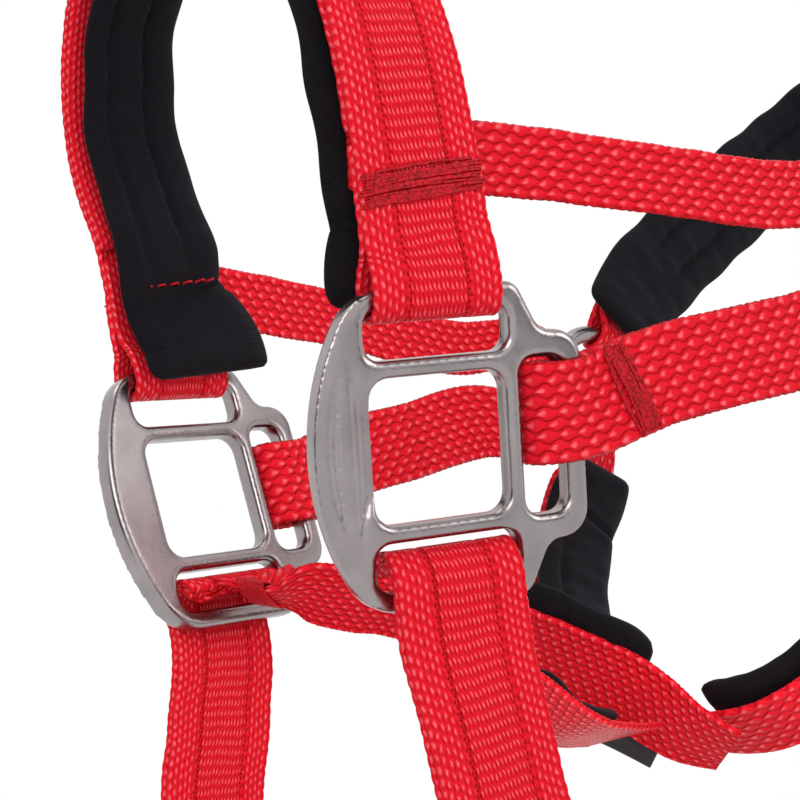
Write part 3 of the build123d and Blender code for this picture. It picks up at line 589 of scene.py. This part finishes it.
leg = [noseband_station(height=h) for h in (46, 52, 58, 64)]
upper_leg = [noseband_station(height=h) for h in (67, 72)]
arch = [noseband_station(turn=a) for a in range(0, 91, 10)]
wide_stitches, strap_stitches = (-0.48, 0.46), (-0.62, 0.62)
noseband_half = (
    turned(leg, layer)
    + [at_rim(41, -rim_fold * 0.6, -1), at_rim(36.5, -rim_fold * 0.92, -1)]
    + bend(near_rim, -fittings[NEAR].out, -fittings[NEAR].up, rim_fold, 0, 180, wide)
    + [at_rim(36.5, rim_fold * 0.92, 1), at_rim(41, rim_fold * 0.6, 1)]
    + laid(leg + upper_leg + arch, layer))
wide_band("noseband_outer_webbing", "noseband_outer_layer",
          noseband_half + across_head(noseband_half[:-1]), stitches=wide_stitches, columns=56)
under_half = laid(upper_leg + arch, -layer)
wide_band("noseband_inner_webbing", "noseband_inner_layer",
          under_half + across_head(under_half[:-1]), step=1.6, columns=24)


# ---------------------------------------------------------------- noseband pad
# Closed-cell foam in a black knitted sleeve, sewn under the noseband with two lengthwise
# seams. It is wide on the near side and slimmer on the far side, and ends above the slots.
black_knit, tree, knit_face = new_paint("black_knit")
chart = added(tree, "UVMap", {}, uv_map="yarns").outputs["UV"]
courses = added(tree, "TexWave", {"Scale": 0.42, "Distortion": 0.8, "Detail": 1.0,
                                  "Vector": chart}, bands_direction="Y").outputs["Fac"]
loops = added(tree, "TexVoronoi", {"Scale": 2.1, "Vector": chart}).outputs["Distance"]
surface = added(tree, "Math", {0: loops, 1: -0.8, 2: courses}, operation="MULTIPLY_ADD")
fed(tree, knit_face, {
    "Base Color": ramp(tree, loops, (0.0, (0.0115, 0.0095, 0.0135)),
                       (0.42, (0.0045, 0.0035, 0.0055))),
    "Roughness": 0.82, "Specular IOR Level": 0.12,
    "Sheen Weight": 0.05, "Sheen Roughness": 0.5, "Sheen Tint": (0.6, 0.62, 0.75, 1),
    "Normal": bumped(tree, surface.outputs[0], 0.4, 0.00022)})


def cushion(name, line, thickness, seams=(), pinches=(), seed=1, step=1.1, columns=22, roll=0.0,
            bulb=0.0, rounding=0.14):
    """A foam pad along a line: crowned between its seams, creased at its pinches, rounded
    at its edges and ends, and a little uneven. A roll makes its edges stand thicker, and a
    bulb its far end."""
    point, outward, across, width, s = eased(line, step)
    rng = np.random.default_rng(seed)
    x, face = both_faces(np.sin(np.linspace(-pi / 2, pi / 2, columns + 1)))
    w, along = width[:, None], s[:, None]
    swell = np.ones((len(s), x.shape[1]))
    for size, length, drift in ((0.06, 19, 1.3), (0.05, 11, -2.1), (0.035, 6.5, 3.4)):
        swell += size * np.sin(2 * pi * (along / length + rng.random()) + x * drift)
    swell *= 1 + bulb * np.exp(-((s[-1] - along - 5) / 5.5) ** 2) * (face > 0)
    to_end = np.minimum(s, s[-1] - s)[:, None]
    end = np.clip(to_end / (thickness * 0.9), 0, 1)
    closing = 0.30 + 0.70 * np.sqrt(1 - (1 - end) ** 2)
    rim = np.sqrt(np.clip(1 - np.abs(x) ** 3.4, 0, 1))
    lift = face * rim * thickness / 2 * swell * closing
    lift = lift * (1 + roll * np.exp(-((np.abs(x) - 0.72) * w / 2 / 2.4) ** 2))
    for seam in seams:
        crease = np.exp(-((x - seam) * w / 2 / 0.9) ** 2) * np.clip((to_end - 27) / 14, 0.12, 1)
        stitch = 0.75 + 0.25 * np.abs(np.sin(pi * along / 3.2))
        lift = lift - face * crease * rim * thickness * 0.34 * stitch
    for place in pinches:
        lift = lift * (1 - 0.5 * np.exp(-((along - place % s[-1]) / 1.5) ** 2))
    corner = np.clip(to_end / (w * rounding), 0, 1)
    side = x * w / 2 * (1 - rounding * (1 - np.sqrt(1 - (1 - corner) ** 2)))
    side = side + 0.35 * np.sin(2 * pi * (along / 23 + rng.random()))
    return band_mesh(name, swept(point, across, outward, side, lift), (x + 1) / 2 * w,
                     along * np.ones_like(x))


pad_thickness = 5.0


def padding(name, node, line, thicker, **more):
    """A finished pad that stands for a node, a little thicker than its plain foam."""
    pad = cushion(name, line, pad_thickness + thicker, **more)
    finished(pad, black_knit, "straps", "black_padding", node)


face_gap, narrow = 0.8, 1.5
face_depth = layer + webbing / 2 + face_gap + narrow / 2
pad_depth = face_depth + narrow / 2 + face_gap + pad_thickness / 2
pad_low_depth = rim_fold + webbing / 2 + layer_gap + pad_thickness / 2
pad_half = ([at_rim(up, -pad_low_depth, 1, rear=-1.5) for up in (30.5, 34.5, 39)]
            + laid(leg + upper_leg + arch, -pad_depth))
pad_cut = {NEAR: ((30, 78, 120, 145), (38, 38, 31, 26), (0.6, 0.6, 0, -0.8), (0, 0, 0, 0)),
           FAR: ((30, 40, 50, 64, 78, 120, 145), (42, 40, 32.5, 31.5, 28.5, 24.5, 26),
                 (7.5, 6.5, 0.3, 0.2, 0.7, -0.5, -0.8), (2.5, 1, 0, 0, 0, 0, 0))}
pad_line = []
for spot, out, _ in pad_half + across_head(pad_half[:-1]):
    side = NEAR if spot.y < 0 else FAR
    heights, *cut = pad_cut[side]
    width, rearward, inward = (float(np.interp(spot.z, heights, row)) for row in cut)
    pad_line.append((spot + Vector((rearward, -side * inward, 0)), out, width))
padding("noseband_knit_pad", "noseband_pad", pad_line, 0.6, seams=(-0.5, 0.28),
        pinches=(20, -22), seed=3, roll=0.12, columns=34)

# ---------------------------------------------------------------- noseband bar-tacks
# A zigzag of heavy dark red thread across each leg, where the folded end is sewn down. Its
# underside shows on the pad of the far leg as a few red stitches.
dark_thread, tree, twine = new_paint("dark_red_thread")
place = added(tree, "TexCoord", {}).outputs["Object"]
fibre = added(tree, "TexNoise", {"Scale": 1500.0, "Vector": place}).outputs["Fac"]
fed(tree, twine, {"Base Color": ramp(tree, fibre, (0.35, (0.22, 0.001, 0.004)),
                                     (0.65, (0.62, 0.005, 0.016))),
                  "Roughness": 0.4, "Specular IOR Level": 0.18})


def thread(name, dots, radius, lay=1.5, sides=8):
    """A two-ply twisted thread along a path of points in mm."""
    dots = np.asarray(dots, float)
    span = np.concatenate(([0], np.cumsum(np.linalg.norm(np.diff(dots, axis=0), axis=1))))
    s = np.linspace(0, span[-1], max(4, int(span[-1] / (radius * 0.85))))
    path = np.column_stack([np.interp(s, span, dots[:, k]) for k in range(3)])
    along = np.gradient(path, axis=0)
    along /= np.linalg.norm(along, axis=1)[:, None] + 1e-9
    side = np.cross(along[0], (0.31, 0.52, 0.79))
    first = np.empty_like(along)
    for i, direction in enumerate(along):
        side = side - direction * side.dot(direction)
        side = side / (np.linalg.norm(side) + 1e-9)
        first[i] = side
    second = np.cross(along, first)
    turn = np.linspace(0, 2 * pi, sides, endpoint=False)[None, :]
    reach = radius * (0.80 + 0.28 * np.abs(np.cos(turn - pi * s[:, None] / lay)))
    grid = swept(path, first, second, np.cos(turn) * reach, np.sin(turn) * reach)
    return band_mesh(name, grid, turn * np.ones_like(s)[:, None], s[:, None] * np.ones_like(turn))


def zigzag(line, begins, length, passes, half_width, lift, slant=0.0):
    """The path of a bar-tack over a strap, from the first place where begins holds."""
    point, outward, across, _, s = eased(line, 0.25)
    start = s[next(i for i in range(len(s)) if begins(point[i], outward[i]))]
    rng = np.random.default_rng(passes)
    dots = []
    for k in range(passes):
        reach, shift = rng.normal(1, 0.04), rng.normal(0, 0.6)
        for j in np.linspace(0, 1, 14)[:-1]:
            side = (2 * j - 1) * (1 if k % 2 == 0 else -1) * reach
            run = start + (k + j) * length / passes + slant * side + shift * sin(pi * j)
            i = min(int(np.searchsorted(s, run)), len(s) - 1)
            bow = lift + 0.18 * (1 - side ** 2)
            dots.append(point[i] + across[i] * side * half_width + outward[i] * bow)
    return np.array(dots)


def sewing(name, dots, radius, *stands_for):
    """A finished length of thread, which may stand for a node."""
    finished(thread(name, dots, radius), dark_thread, "straps", "dark_red_thread", *stands_for)


def leg_tack(half_width, lift, foot=50.8, length=7.0, passes=21):
    return zigzag(noseband_half, lambda p, o: p[2] > foot and o[1] < -0.5, length, passes,
                  half_width, webbing / 2 + lift, slant=0.7)


tack_radius, small_tack_radius = 0.36, 0.32
sewing("near_noseband_tack_thread", leg_tack(14.6, 0.28), tack_radius, "near_noseband_tack")
sewing("far_noseband_tack_thread", across_path(leg_tack(13.4, 0.1)), tack_radius,
       "far_noseband_tack")
point, outward, across, _, _ = eased(laid(leg, -pad_depth - pad_thickness / 2), 0.25)
row = int(np.argmax(point[:, 2] > 55))
specks = [point[row] + across[row] * j + outward[row] * (1.1 * sin(1.5 * j) - 0.5)
          for j in np.linspace(-9, 11, 160)]
sewing("far_pad_stitches", across_path(specks), small_tack_radius)

# ---------------------------------------------------------------- cheek rings
# Two rings of 5.5 mm welded steel wire, polished like the fittings. They turn freely in the
# strap ends that are sewn round them.
def polished(node, body):
    """A solid steel piece kept as it was drawn, with smooth shading and the steel finish."""
    piece = own_copy(node, node + "_steel")
    bpy.ops.object.shade_smooth_by_angle(angle=radians(40))
    finished(piece, steel, body, "polished_steel", node)


polished("near_cheek_ring", "near_ring")
polished("far_cheek_ring", "far_ring")
cheek_rings = {NEAR: beside_head((152.0, 78.0, 34.0), 7.0, 3.0, NEAR),
               FAR: beside_head((159.0, 72.0, 22.0), 7.0, 3.0, FAR)}
strap_width, ring_radius, ring_wire = 22.0, 17.0, 5.5
narrow_layer = (narrow + layer_gap) / 2
ring_fold = ring_wire / 2 + 0.35 + narrow / 2
neck_length = 13


def ring_end(side, angle, pinch, arriving):
    """A strap's end: gathered round the ring's wire and sewn back under itself."""
    ring = cheek_rings[side]
    spoke = ring.turn(cos(radians(angle)), sin(radians(angle)), 0)
    hub = sqrt(ring_radius ** 2 - (pinch / 2) ** 2)
    last, facing_out, width = arriving
    middle = (pinch + width) / 2

    def station(radial, out, w):
        return (ring.origin + spoke * radial + ring.out * out, ring.out.copy(), w)

    gathering = [station(hub + neck_length, narrow_layer, middle),
                 station(hub + 7, ring_fold * 0.72, (pinch + middle) / 2),
                 station(hub + 3.5, ring_fold * 0.97, pinch)]
    neck = ring.origin + spoke * (hub + neck_length)
    stitched = neck + (last - neck).normalized() * neck_length
    return (gathering
            + bend(ring.origin + spoke * hub, ring.out, -spoke, ring_fold, 0, 180, pinch)
            + [(p - ring.out * 2 * (p - neck).dot(ring.out), -ring.out, w)
               for p, _, w in reversed(gathering)]
            + [(stitched - facing_out * narrow_layer, -facing_out, width * 0.96)])


# ---------------------------------------------------------------- cheek straps
# 22 mm heavy webbing from the rear slot of each fitting to the cheek ring. Each is folded
# round the fitting's rear bar and held by a bar-tack just behind it.
rear_bar, behind_bar = 25.8, 32.85
cheek_run = {
    NEAR: [((52, -66.0, 9.6), 9), ((72, -70.4, 12.2), 8), ((94, -73.4, 14.8), 6)],
    FAR: [((52, 62.6, 6.0), 9), ((80, 66.0, 10.0), 7), ((108, 68.5, 14.0), 6)]}


def beside(run, side, width):
    """Stations on a strap beside the head: each a place and the yaw of its outer face."""
    return [(Vector(p), Vector((-sin(radians(yaw)), side * cos(radians(yaw)), 0)), width)
            for p, yaw in run]


def cheek_line(side, up, angle):
    """Stations from under the strap, round the rear bar, and along the cheek to the ring."""
    fitting, grip, loose = fittings[side], ring_fold + 0.4, 5.0

    def station(rear, out, facing):
        return (fitting.at(rear, up + (rear - behind_bar) * 0.12, out), fitting.out * facing,
                strap_width)

    run = beside(cheek_run[side], side, strap_width)
    return (turned(run[:2], narrow_layer)
            + [station(behind_bar + loose, -grip * 0.8, -1), station(behind_bar, -grip, -1)]
            + bend(fitting.at(rear_bar, up, 0), -fitting.out, -fitting.rear, grip, 0, 180,
                   strap_width)
            + [station(behind_bar, grip, 1), station(behind_bar + loose, grip * 0.8, 1)]
            + laid(run, narrow_layer)
            + ring_end(side, angle, 11.0, run[-1]))


def strap(name, node, line, rows=strap_rows, pitch=strap_pitch, **more):
    """A finished band of the narrow webbing that stands for a node."""
    finish_band(woven_band(name, line, narrow, rows, pitch, **more), narrow_red, node)


for side, name, up, angle in ((NEAR, "near", 4.9, 205), (FAR, "far", 1.0, 202)):
    line = cheek_line(side, up, angle)
    strap(name + "_cheek_webbing", name + "_cheek_strap", line, stitches=(0.62,))
    path = zigzag(line, lambda p, o: p[0] > 42.6 and o[1] * side > 0.5, length=5.6, passes=18,
                  half_width=10.6, lift=narrow / 2 + 0.26, slant=0.5)
    sewing(name + "_cheek_tack_thread", path, small_tack_radius, name + "_cheek_tack")

# ---------------------------------------------------------------- face straps
# 16 mm webbing sewn between the noseband and its pad, and gathered round the cheek ring at
# the other end. It shows seven bold rows of floats.
face_width = 16.0


def face_line(side, height, fall, run, angle, ends):
    """Stations from under the noseband, where the strap slopes by its fall, to the ring."""
    below, here, above = [noseband_station(height=height + d) for d in (-1, 0, 1)]
    point, out, _ = squared([below, here, above])[1]
    rear = (above[0] - below[0]).normalized().cross(out)
    held = []
    for s in ends:
        spot = point + rear * s - out * face_depth + Vector((0, 0, -fall * s))
        facing = out.copy()
        if side == FAR:
            tilt = (far_sag(spot.z + 1) - far_sag(spot.z - 1)) / 2
            spot, facing, _ = across_head([(spot, facing, 0)])[0]
            facing.z += tilt
        held.append((spot, facing, face_width))
    run = beside(run, side, face_width)
    return held + laid(run, narrow_layer) + ring_end(side, angle, 9.0, run[-1])


for side, name, height, fall, run, angle, ends in (
        (NEAR, "near", 61.5, 0.135, [((55, -68.0, 54.6), 8), ((96, -73.4, 49.2), 7)], 146,
         (-13.5, -5, 7, 20)),
        (FAR, "far", 55.0, 0.2, [((59, 65.0, 47.0), 5), ((108, 69.0, 36.6), 5)], 150,
         (-8, -2, 7, 20))):
    strap(name + "_face_webbing", name + "_face_strap",
          face_line(side, height, fall, run, angle, ends), rows=7, pitch=4.4)

# ---------------------------------------------------------------- crown and billet
# 22 mm webbing over the poll, sewn to the far ring and buckled on the near side. Its punched
# holes are heat sealed. The short billet joins the near ring to the buckle's heel bar.
crown_slope = Vector((cos(radians(31.0)), 0, sin(radians(31.0))))
crown_bend = Vector((272.0, 0, 101.5))
crown_half_width, crown_rise, crown_foam = 82.0, 70.0, 34.0
near_hub = cheek_rings[NEAR].at(ring_radius * cos(radians(38)), ring_radius * sin(radians(38)), 0)
near_run = (crown_bend + Vector((0, -crown_half_width, 0)) - near_hub).normalized()
near_across = near_run.cross(Vector((0, -1, 0))).normalized()
buckle = Bearings(near_hub + near_run * 60.0, near_run, near_across, near_across.cross(near_run))
heel_radius, roller_radius = 2.2, 3.28
heel_fold = heel_radius + 0.35 + narrow / 2
over_billet = narrow_layer + narrow + layer_gap
behind_tip = roller_radius + layer_gap + narrow / 2
over_heel = heel_fold + narrow + layer_gap
tail_length = 42.0


def at_buckle(along, out, facing=1):
    return (buckle.at(along, 0, out), buckle.out * facing, strap_width)


def over_poll(turn):
    """A station of the crown's bend, at a turn of 0 on the far side to 180 on the near."""
    t = radians(turn)
    spread = Vector((0, crown_half_width * cos(t), 0))
    facing = crown_slope * (sin(t) / crown_rise) + Vector((0, cos(t) / crown_half_width, 0))
    return (crown_bend + crown_slope * (crown_rise * sin(t)) + spread, facing.normalized(),
            strap_width)


def punched(piece, along, out, tilt, diameter):
    """A round hole through the webbing, square to it where it slopes by tilt degrees."""
    axis = buckle.rear * sin(radians(tilt)) + buckle.out * cos(radians(tilt))
    bpy.ops.mesh.primitive_cylinder_add(vertices=32, radius=diameter * 0.0005, depth=0.006,
                                        location=buckle.at(along, 0, out) * 0.001,
                                        rotation=axis.to_track_quat("Z", "Y").to_euler())
    cut_away(piece, bpy.context.active_object)


def cut_away(piece, cutter):
    """Takes a cutter's shape out of a piece, and the cutter out of the scene."""
    cut = piece.modifiers.new("cut", "BOOLEAN")
    cut.operation = "DIFFERENCE"
    cut.solver = "EXACT"
    cut.object = cutter
    bpy.context.view_layer.objects.active = piece
    bpy.ops.object.modifier_apply(modifier=cut.name)
    bpy.data.objects.remove(cutter, do_unlink=True)


far_leg = [(Vector(p), Vector((0, 1, 0)), strap_width)
           for p in ((246, 80.8, 88), (222, 79.4, 75), (200, 77.8, 62.5), (187, 76.2, 54.5))]
poll = [over_poll(a) for a in range(0, 181, 12)]
into_buckle = [at_buckle(a, o) for a, o in (
    (60, 0), (46, -0.8), (34, -behind_tip * 0.8), (28, -behind_tip), (20, -behind_tip),
    (16, -behind_tip * 0.86), (13, -1.8), (7, over_heel * 0.74), (4, over_heel * 0.97),
    (0, over_heel + 0.1), (-5, over_heel * 0.93), (-11, over_billet * 1.04),
    (-15, over_billet), (-36, over_billet), (-tail_length, over_billet + 0.7))]
crown_line = (ring_end(FAR, 54, 14.0, far_leg[-1])[::-1] + laid(far_leg[::-1], narrow_layer)
              + poll + into_buckle)
crown = woven_band("crown_webbing", crown_line, narrow, strap_rows, strap_pitch,
                   stitches=strap_stitches)
tongue_hole, spare_hole = 6.4, 4.8
punched(crown, 8.8, 2.6, 50, tongue_hole)
punched(crown, -20, over_billet, 0, spare_hole)
punched(crown, -37, over_billet + 0.2, 4, spare_hole)
finish_band(crown, narrow_red, "crown_strap")

over_ring = [(Vector(p), Vector((0, 1, 0)), 0) for p in ((169, 71.3, 38.5), (177, 74.4, 47))]
crown_pad_line = [(p, o, crown_foam) for p, o, _ in over_ring + far_leg[::-1] + poll]
crown_pad_depth = narrow_layer + narrow + layer_gap + pad_thickness / 2
padding("crown_knit_pad", "crown_pad", laid(crown_pad_line, -crown_pad_depth), 0.6,
        seams=(-0.36, 0.36), seed=7, roll=0.1, columns=26)

billet_line = (
    [at_buckle(-27, -narrow_layer, -1), at_buckle(-12, -narrow_layer, -1),
     at_buckle(-5, -heel_fold * 0.8, -1)]
    + bend(buckle.origin, -buckle.out, buckle.rear, heel_fold, 0, 180, strap_width, 12)
    + [at_buckle(-5, heel_fold * 0.8), at_buckle(-12, narrow_layer),
       at_buckle(-38, narrow_layer + 0.1)]
    + ring_end(NEAR, 38, 14.0, at_buckle(-38, 0)))
billet = woven_band("crown_billet_webbing", billet_line, narrow, strap_rows, strap_pitch,
                    stitches=strap_stitches)
tongue_slot = (15.0, 5.6, 12.0)
bpy.ops.mesh.primitive_cube_add(size=0.001)
slot_cutter = bpy.context.active_object
slot_cutter.matrix_world = placed(buckle.rear, buckle.up, buckle.out, buckle.at(
    -1.5, 0, 0) * 0.001) @ Matrix.Diagonal((*tongue_slot, 1.0))
bpy.context.view_layer.update()
cut_away(billet, slot_cutter)
finish_band(billet, narrow_red, "crown_billet")

# ---------------------------------------------------------------- buckle and keeper
# A heel-bar buckle bent from 4.4 mm wire, with a turned roller on its tip bar and a single
# tongue, all polished. The keeper is a closed loop of webbing that slides over both straps.
polished("buckle_frame", "straps")
polished("buckle_roller", "roller")
polished("buckle_tongue", "tongue")

keeper_thickness, keeper_width, keeper_half, corner_bend, keeper_at = 1.3, 9.0, 12.05, 1.0, -25.0
keeper_low = -narrow_layer - narrow / 2 - 0.4 - keeper_thickness / 2
keeper_high = over_billet + narrow / 2 + 0.65 + keeper_thickness / 2
keeper_line = []
for corner, (side, level) in enumerate((
        (1, keeper_low + corner_bend), (1, keeper_high - corner_bend),
        (-1, keeper_high - corner_bend), (-1, keeper_low + corner_bend))):
    for turn in (0, 30, 60, 90):
        angle = radians(-90 + 90 * corner + turn)
        facing = buckle.up * cos(angle) + buckle.out * sin(angle)
        hub = buckle.at(keeper_at, side * (keeper_half - corner_bend), level)
        keeper_line.append((hub + facing * corner_bend, facing, keeper_width))
first = (keeper_line[0][0] + keeper_line[-1][0]) / 2
keeper_line = ([(first + buckle.up * 0.1, -buckle.out, keeper_width)] + keeper_line
               + [(first - buckle.up * 0.1, -buckle.out, keeper_width)])
keeper = woven_band("keeper_webbing", keeper_line, keeper_thickness, 4, strap_pitch)
finished(keeper, narrow_red, "keeper", "red_webbing", "crown_keeper")

# ---------------------------------------------------------------- throat strap
# 22 mm webbing from ring to ring under the throat, with a knit-covered pad sewn inside each
# half. The pads' rolled edges stand above the webbing.
throat_run = [(Vector(p), Vector(o), strap_width) for p, o in (
    ((146.7, 71, -9), (-0.2, 0.97, -0.1)), ((137, 69, -20), (-0.15, 0.97, -0.2)),
    ((128, 64.5, -32), (-0.2, 0.92, -0.35)), ((118, 56, -45.5), (-0.3, 0.78, -0.55)),
    ((109.5, 42, -58.5), (-0.4, 0.55, -0.72)), ((106, 22, -68.5), (-0.45, 0.25, -0.85)),
    ((104, 4.5, -75.3), (-0.5, 0, -0.86)), ((107.2, -12.5, -78.7), (-0.52, -0.25, -0.82)),
    ((113.5, -26.5, -77.8), (-0.45, -0.5, -0.74)), ((124, -40, -70), (-0.35, -0.7, -0.62)),
    ((137, -57, -52), (-0.25, -0.85, -0.45)), ((146, -70, -27), (-0.15, -0.95, -0.25)),
    ((151, -77, -4), (-0.05, -1, -0.1)))]
throat_line = (ring_end(FAR, 250, 12.0, throat_run[0])[::-1] + laid(throat_run, narrow_layer)
               + ring_end(NEAR, 268, 12.0, throat_run[-1]))
strap("throat_webbing", "throat_strap", throat_line, stitches=strap_stitches)
throat_pad_width = 28.0
throat_pad_depth = narrow_layer + narrow + 3 * layer_gap + pad_thickness / 2
lip = [(Vector((149.3, 70.2, -3.5)), Vector((-0.2, 0.97, -0.1)), strap_width)]
padding("far_throat_knit_pad", "far_throat_pad",
        laid(lip + throat_run[:6], -throat_pad_depth, throat_pad_width), 0.4, seams=(-0.4,),
        pinches=(19,), seed=11, roll=0.15)
padding("near_throat_knit_pad", "near_throat_pad",
        laid(throat_run[7:], -throat_pad_depth, throat_pad_width), 1.0, seams=(0.1,), seed=12,
        roll=0.3)

# ---------------------------------------------------------------- chin loop and lead ring
# Two layers of the wide webbing, looped over the lower rim of each fitting and hanging under
# the chin. The lead ring is a D of 6 mm wire that swings on the bottom of the loop.
lower_rim_up, lower_rim_out = -28.6, 0.8


def over_rim(side, radius):
    """The end of one layer: up inside the slot, over the rim, down in front."""
    fitting = fittings[side]
    line = []
    for turn in range(150, -1, -15):
        c, s = cos(radians(turn)), sin(radians(turn))
        line.append((fitting.at(rim_rear, lower_rim_up + radius * s, lower_rim_out + radius * c),
                     fitting.turn(0, s, c), wide))
    return line + [(fitting.at(rim_rear, -34, lower_rim_out + radius), fitting.out, wide)]


near_chin_leg = [(Vector(p), Vector((-0.1, -1, 0)), wide)
                 for p in ((2.2, -52.3, -58), (4.2, -52.3, -74), (6, -52.3, -92))]
far_chin_leg = [(Vector(p), Vector((-0.1, 1, 0)), wide)
                for p in ((-6, 59, -92), (-4.6, 57, -74), (-1.8, 54.5, -58))]
chin_curve = [(Vector((6.0 * cos(t), 3.4 - 55.7 * cos(t), -92 - 40 * sin(t))),
               Vector((-0.1 * abs(cos(t)), -cos(t), -sin(t) * 1.3)), wide)
              for t in (radians(a) for a in range(10, 171, 10))]
for node, radius, shift in (("outer", 6.85, layer), ("inner", 4.75, -layer)):
    hanging = laid(near_chin_leg + chin_curve + far_chin_leg, shift)
    loop = over_rim(NEAR, radius) + hanging + over_rim(FAR, radius)[::-1]
    wide_band("chin_" + node + "_webbing", "chin_loop_" + node + "_layer", loop,
              stitches=wide_stitches, columns=52)
polished("lead_ring", "lead_d")

# ---------------------------------------------------------------- jaw straps
# A strap runs from each lower slot to the crossing under the jaw, gathered and whipped with
# thread where it leaves the fitting. Both are padded, and the far one crosses over the near.
def jaw_line(side, inside, world, gather):
    """Stations from the lower slot, through the whipping, to the crossing under the jaw."""
    fitting = fittings[side]
    line = [(fitting.at(*p), fitting.turn(*o), w) for p, o, w in inside]
    line += [(Vector(p), Vector(o), w) for p, o, w in world]
    middle, out, width = line[gather]
    along = (line[gather + 1][0] - line[gather - 1][0]).normalized()
    both = [(middle + along * s, out, width) for s in (-5.5, 5.5)]
    return line[:gather] + both + line[gather + 1:], (middle, out, along)


near_jaw, near_tie = jaw_line(
    NEAR,
    [((0.4, -25.4, -6.6), (0, 1, 0), 30), ((0.6, -26.2, -9.2), (0.1, 0.95, -0.2), 25)],
    [((6, -36, -27.5), (0.55, 0.35, 0.75), 17), ((14, -35.5, -41.5), (0.55, 0.45, 0.65), 11),
     ((29, -30, -56), (0.4, 0.35, 0.85), 18), ((44.8, -24, -67.3), (0.1, 0.2, 0.97), 22),
     ((66, -13, -73), (0.1, 0.2, 0.97), 22), ((84, -2, -76), (0.15, 0.26, 0.94), 22)], 3)
far_jaw, far_tie = jaw_line(
    FAR,
    [((0.4, -25.4, -6.6), (0, 1, 0), 30), ((-0.8, -26, -9.2), (0, 1, 0), 24)],
    [((1.7, 31, -26.6), (0.3, 0.45, 0.84), 11), ((7.7, 23.5, -27.6), (0.4, 0.55, 0.73), 17),
     ((15.4, 19.5, -29.8), (0.45, 0.65, 0.6), 20), ((30.8, 14, -34), (0.45, 0.65, 0.6), 22),
     ((48.5, 9.5, -42), (0.45, 0.65, 0.6), 22), ((68.2, 4.5, -52.9), (0.45, 0.65, 0.6), 22),
     ((86.7, -4, -66.3), (0.45, 0.65, 0.6), 22), ((96.2, -12, -77.7), (0.4, 0.5, 0.72), 22),
     ((104, -18.5, -83.8), (0.25, 0.4, 0.87), 22)], 2)
strap("near_jaw_webbing", "near_jaw_strap", near_jaw, rows=12, pitch=3.3, step=0.7)
strap("far_jaw_webbing", "far_jaw_strap", far_jaw, rows=12, pitch=3.3, step=0.7,
      stitches=(0.66, -0.66))


def jaw_pad_line(stations, above, width=24.0, end_width=24.0):
    """The middle of a pad on a jaw strap's inner face, standing above its upper edge."""
    line = []
    depth = narrow / 2 + layer_gap + pad_thickness / 2
    for i, (spot, out, _) in enumerate(squared(stations)):
        after = stations[min(i + 1, len(stations) - 1)][0]
        before = stations[max(i - 1, 0)][0]
        across = (after - before).normalized().cross(out)
        if i == len(stations) - 1:
            above += (width - end_width) / 2
            width = end_width
        line.append((spot + across * above + out * depth, out, width))
    return line


padding("near_jaw_knit_pad", "near_jaw_pad",
        jaw_pad_line(near_jaw[5:8], -1.5, width=19.0, end_width=15.0), -0.8, seed=21,
        rounding=0.4)
padding("far_jaw_knit_pad", "far_jaw_pad", jaw_pad_line(far_jaw[6:10], 4.5, end_width=14.0),
        0.4, seed=22, roll=0.12, bulb=0.6, rounding=0.5)

turns, dots_per_turn, whipping_radius = 12, 24, 0.42
whipping_length, whipping_half_width, whipping_half_depth = 8.2, 6.2, 1.85
for name, (middle, out, along) in (("near", near_tie), ("far", far_tie)):
    out = (out - along * out.dot(along)).normalized()
    across = along.cross(out)
    dots = []
    for i in range(turns * dots_per_turn + 1):
        angle = 2 * pi * i / dots_per_turn
        rise = (i / (turns * dots_per_turn) - 0.5) * whipping_length
        dots.append(tuple(middle + along * rise + across * cos(angle) * whipping_half_width
                          + out * sin(angle) * whipping_half_depth))
    sewing(name + "_whipping_thread", dots, whipping_radius, name + "_jaw_whipping")

# ---------------------------------------------------------------- label
# A small black woven tag, sewn in at the crossing of the jaw straps and left plain.
black_tag, tree, satin = new_paint("black_label")
chart = added(tree, "UVMap", {}, uv_map="yarns").outputs["UV"]
ribs = added(tree, "TexWave", {"Scale": 0.35, "Vector": chart},
             bands_direction="DIAGONAL").outputs["Fac"]
fed(tree, satin, {
    "Base Color": ramp(tree, ribs, (0.0, (0.012, 0.012, 0.014)), (1.0, (0.022, 0.022, 0.025))),
    "Roughness": 0.6, "Normal": bumped(tree, ribs, 0.4, 0.0001)})
label_width, label_thickness = 12.0, 0.8
label_run = Vector((0.65, -0.5, -0.57)).normalized()
label_facing = label_run.cross(Vector((-0.45, 0.5, -0.9))).normalized()
label_middle = Vector((90.3, 2.6, -76.7))
label_line = [(label_middle + label_run * s - label_facing * bow, label_facing, label_width)
              for s, bow in ((-8.75, 0.3), (-4, 0), (4, 0), (8.75, 0.4))]
label = woven_band("label_tag", label_line, label_thickness, 24, 1.0, frill=0.0)
finished(label, black_tag, "straps", "black_label", "label")
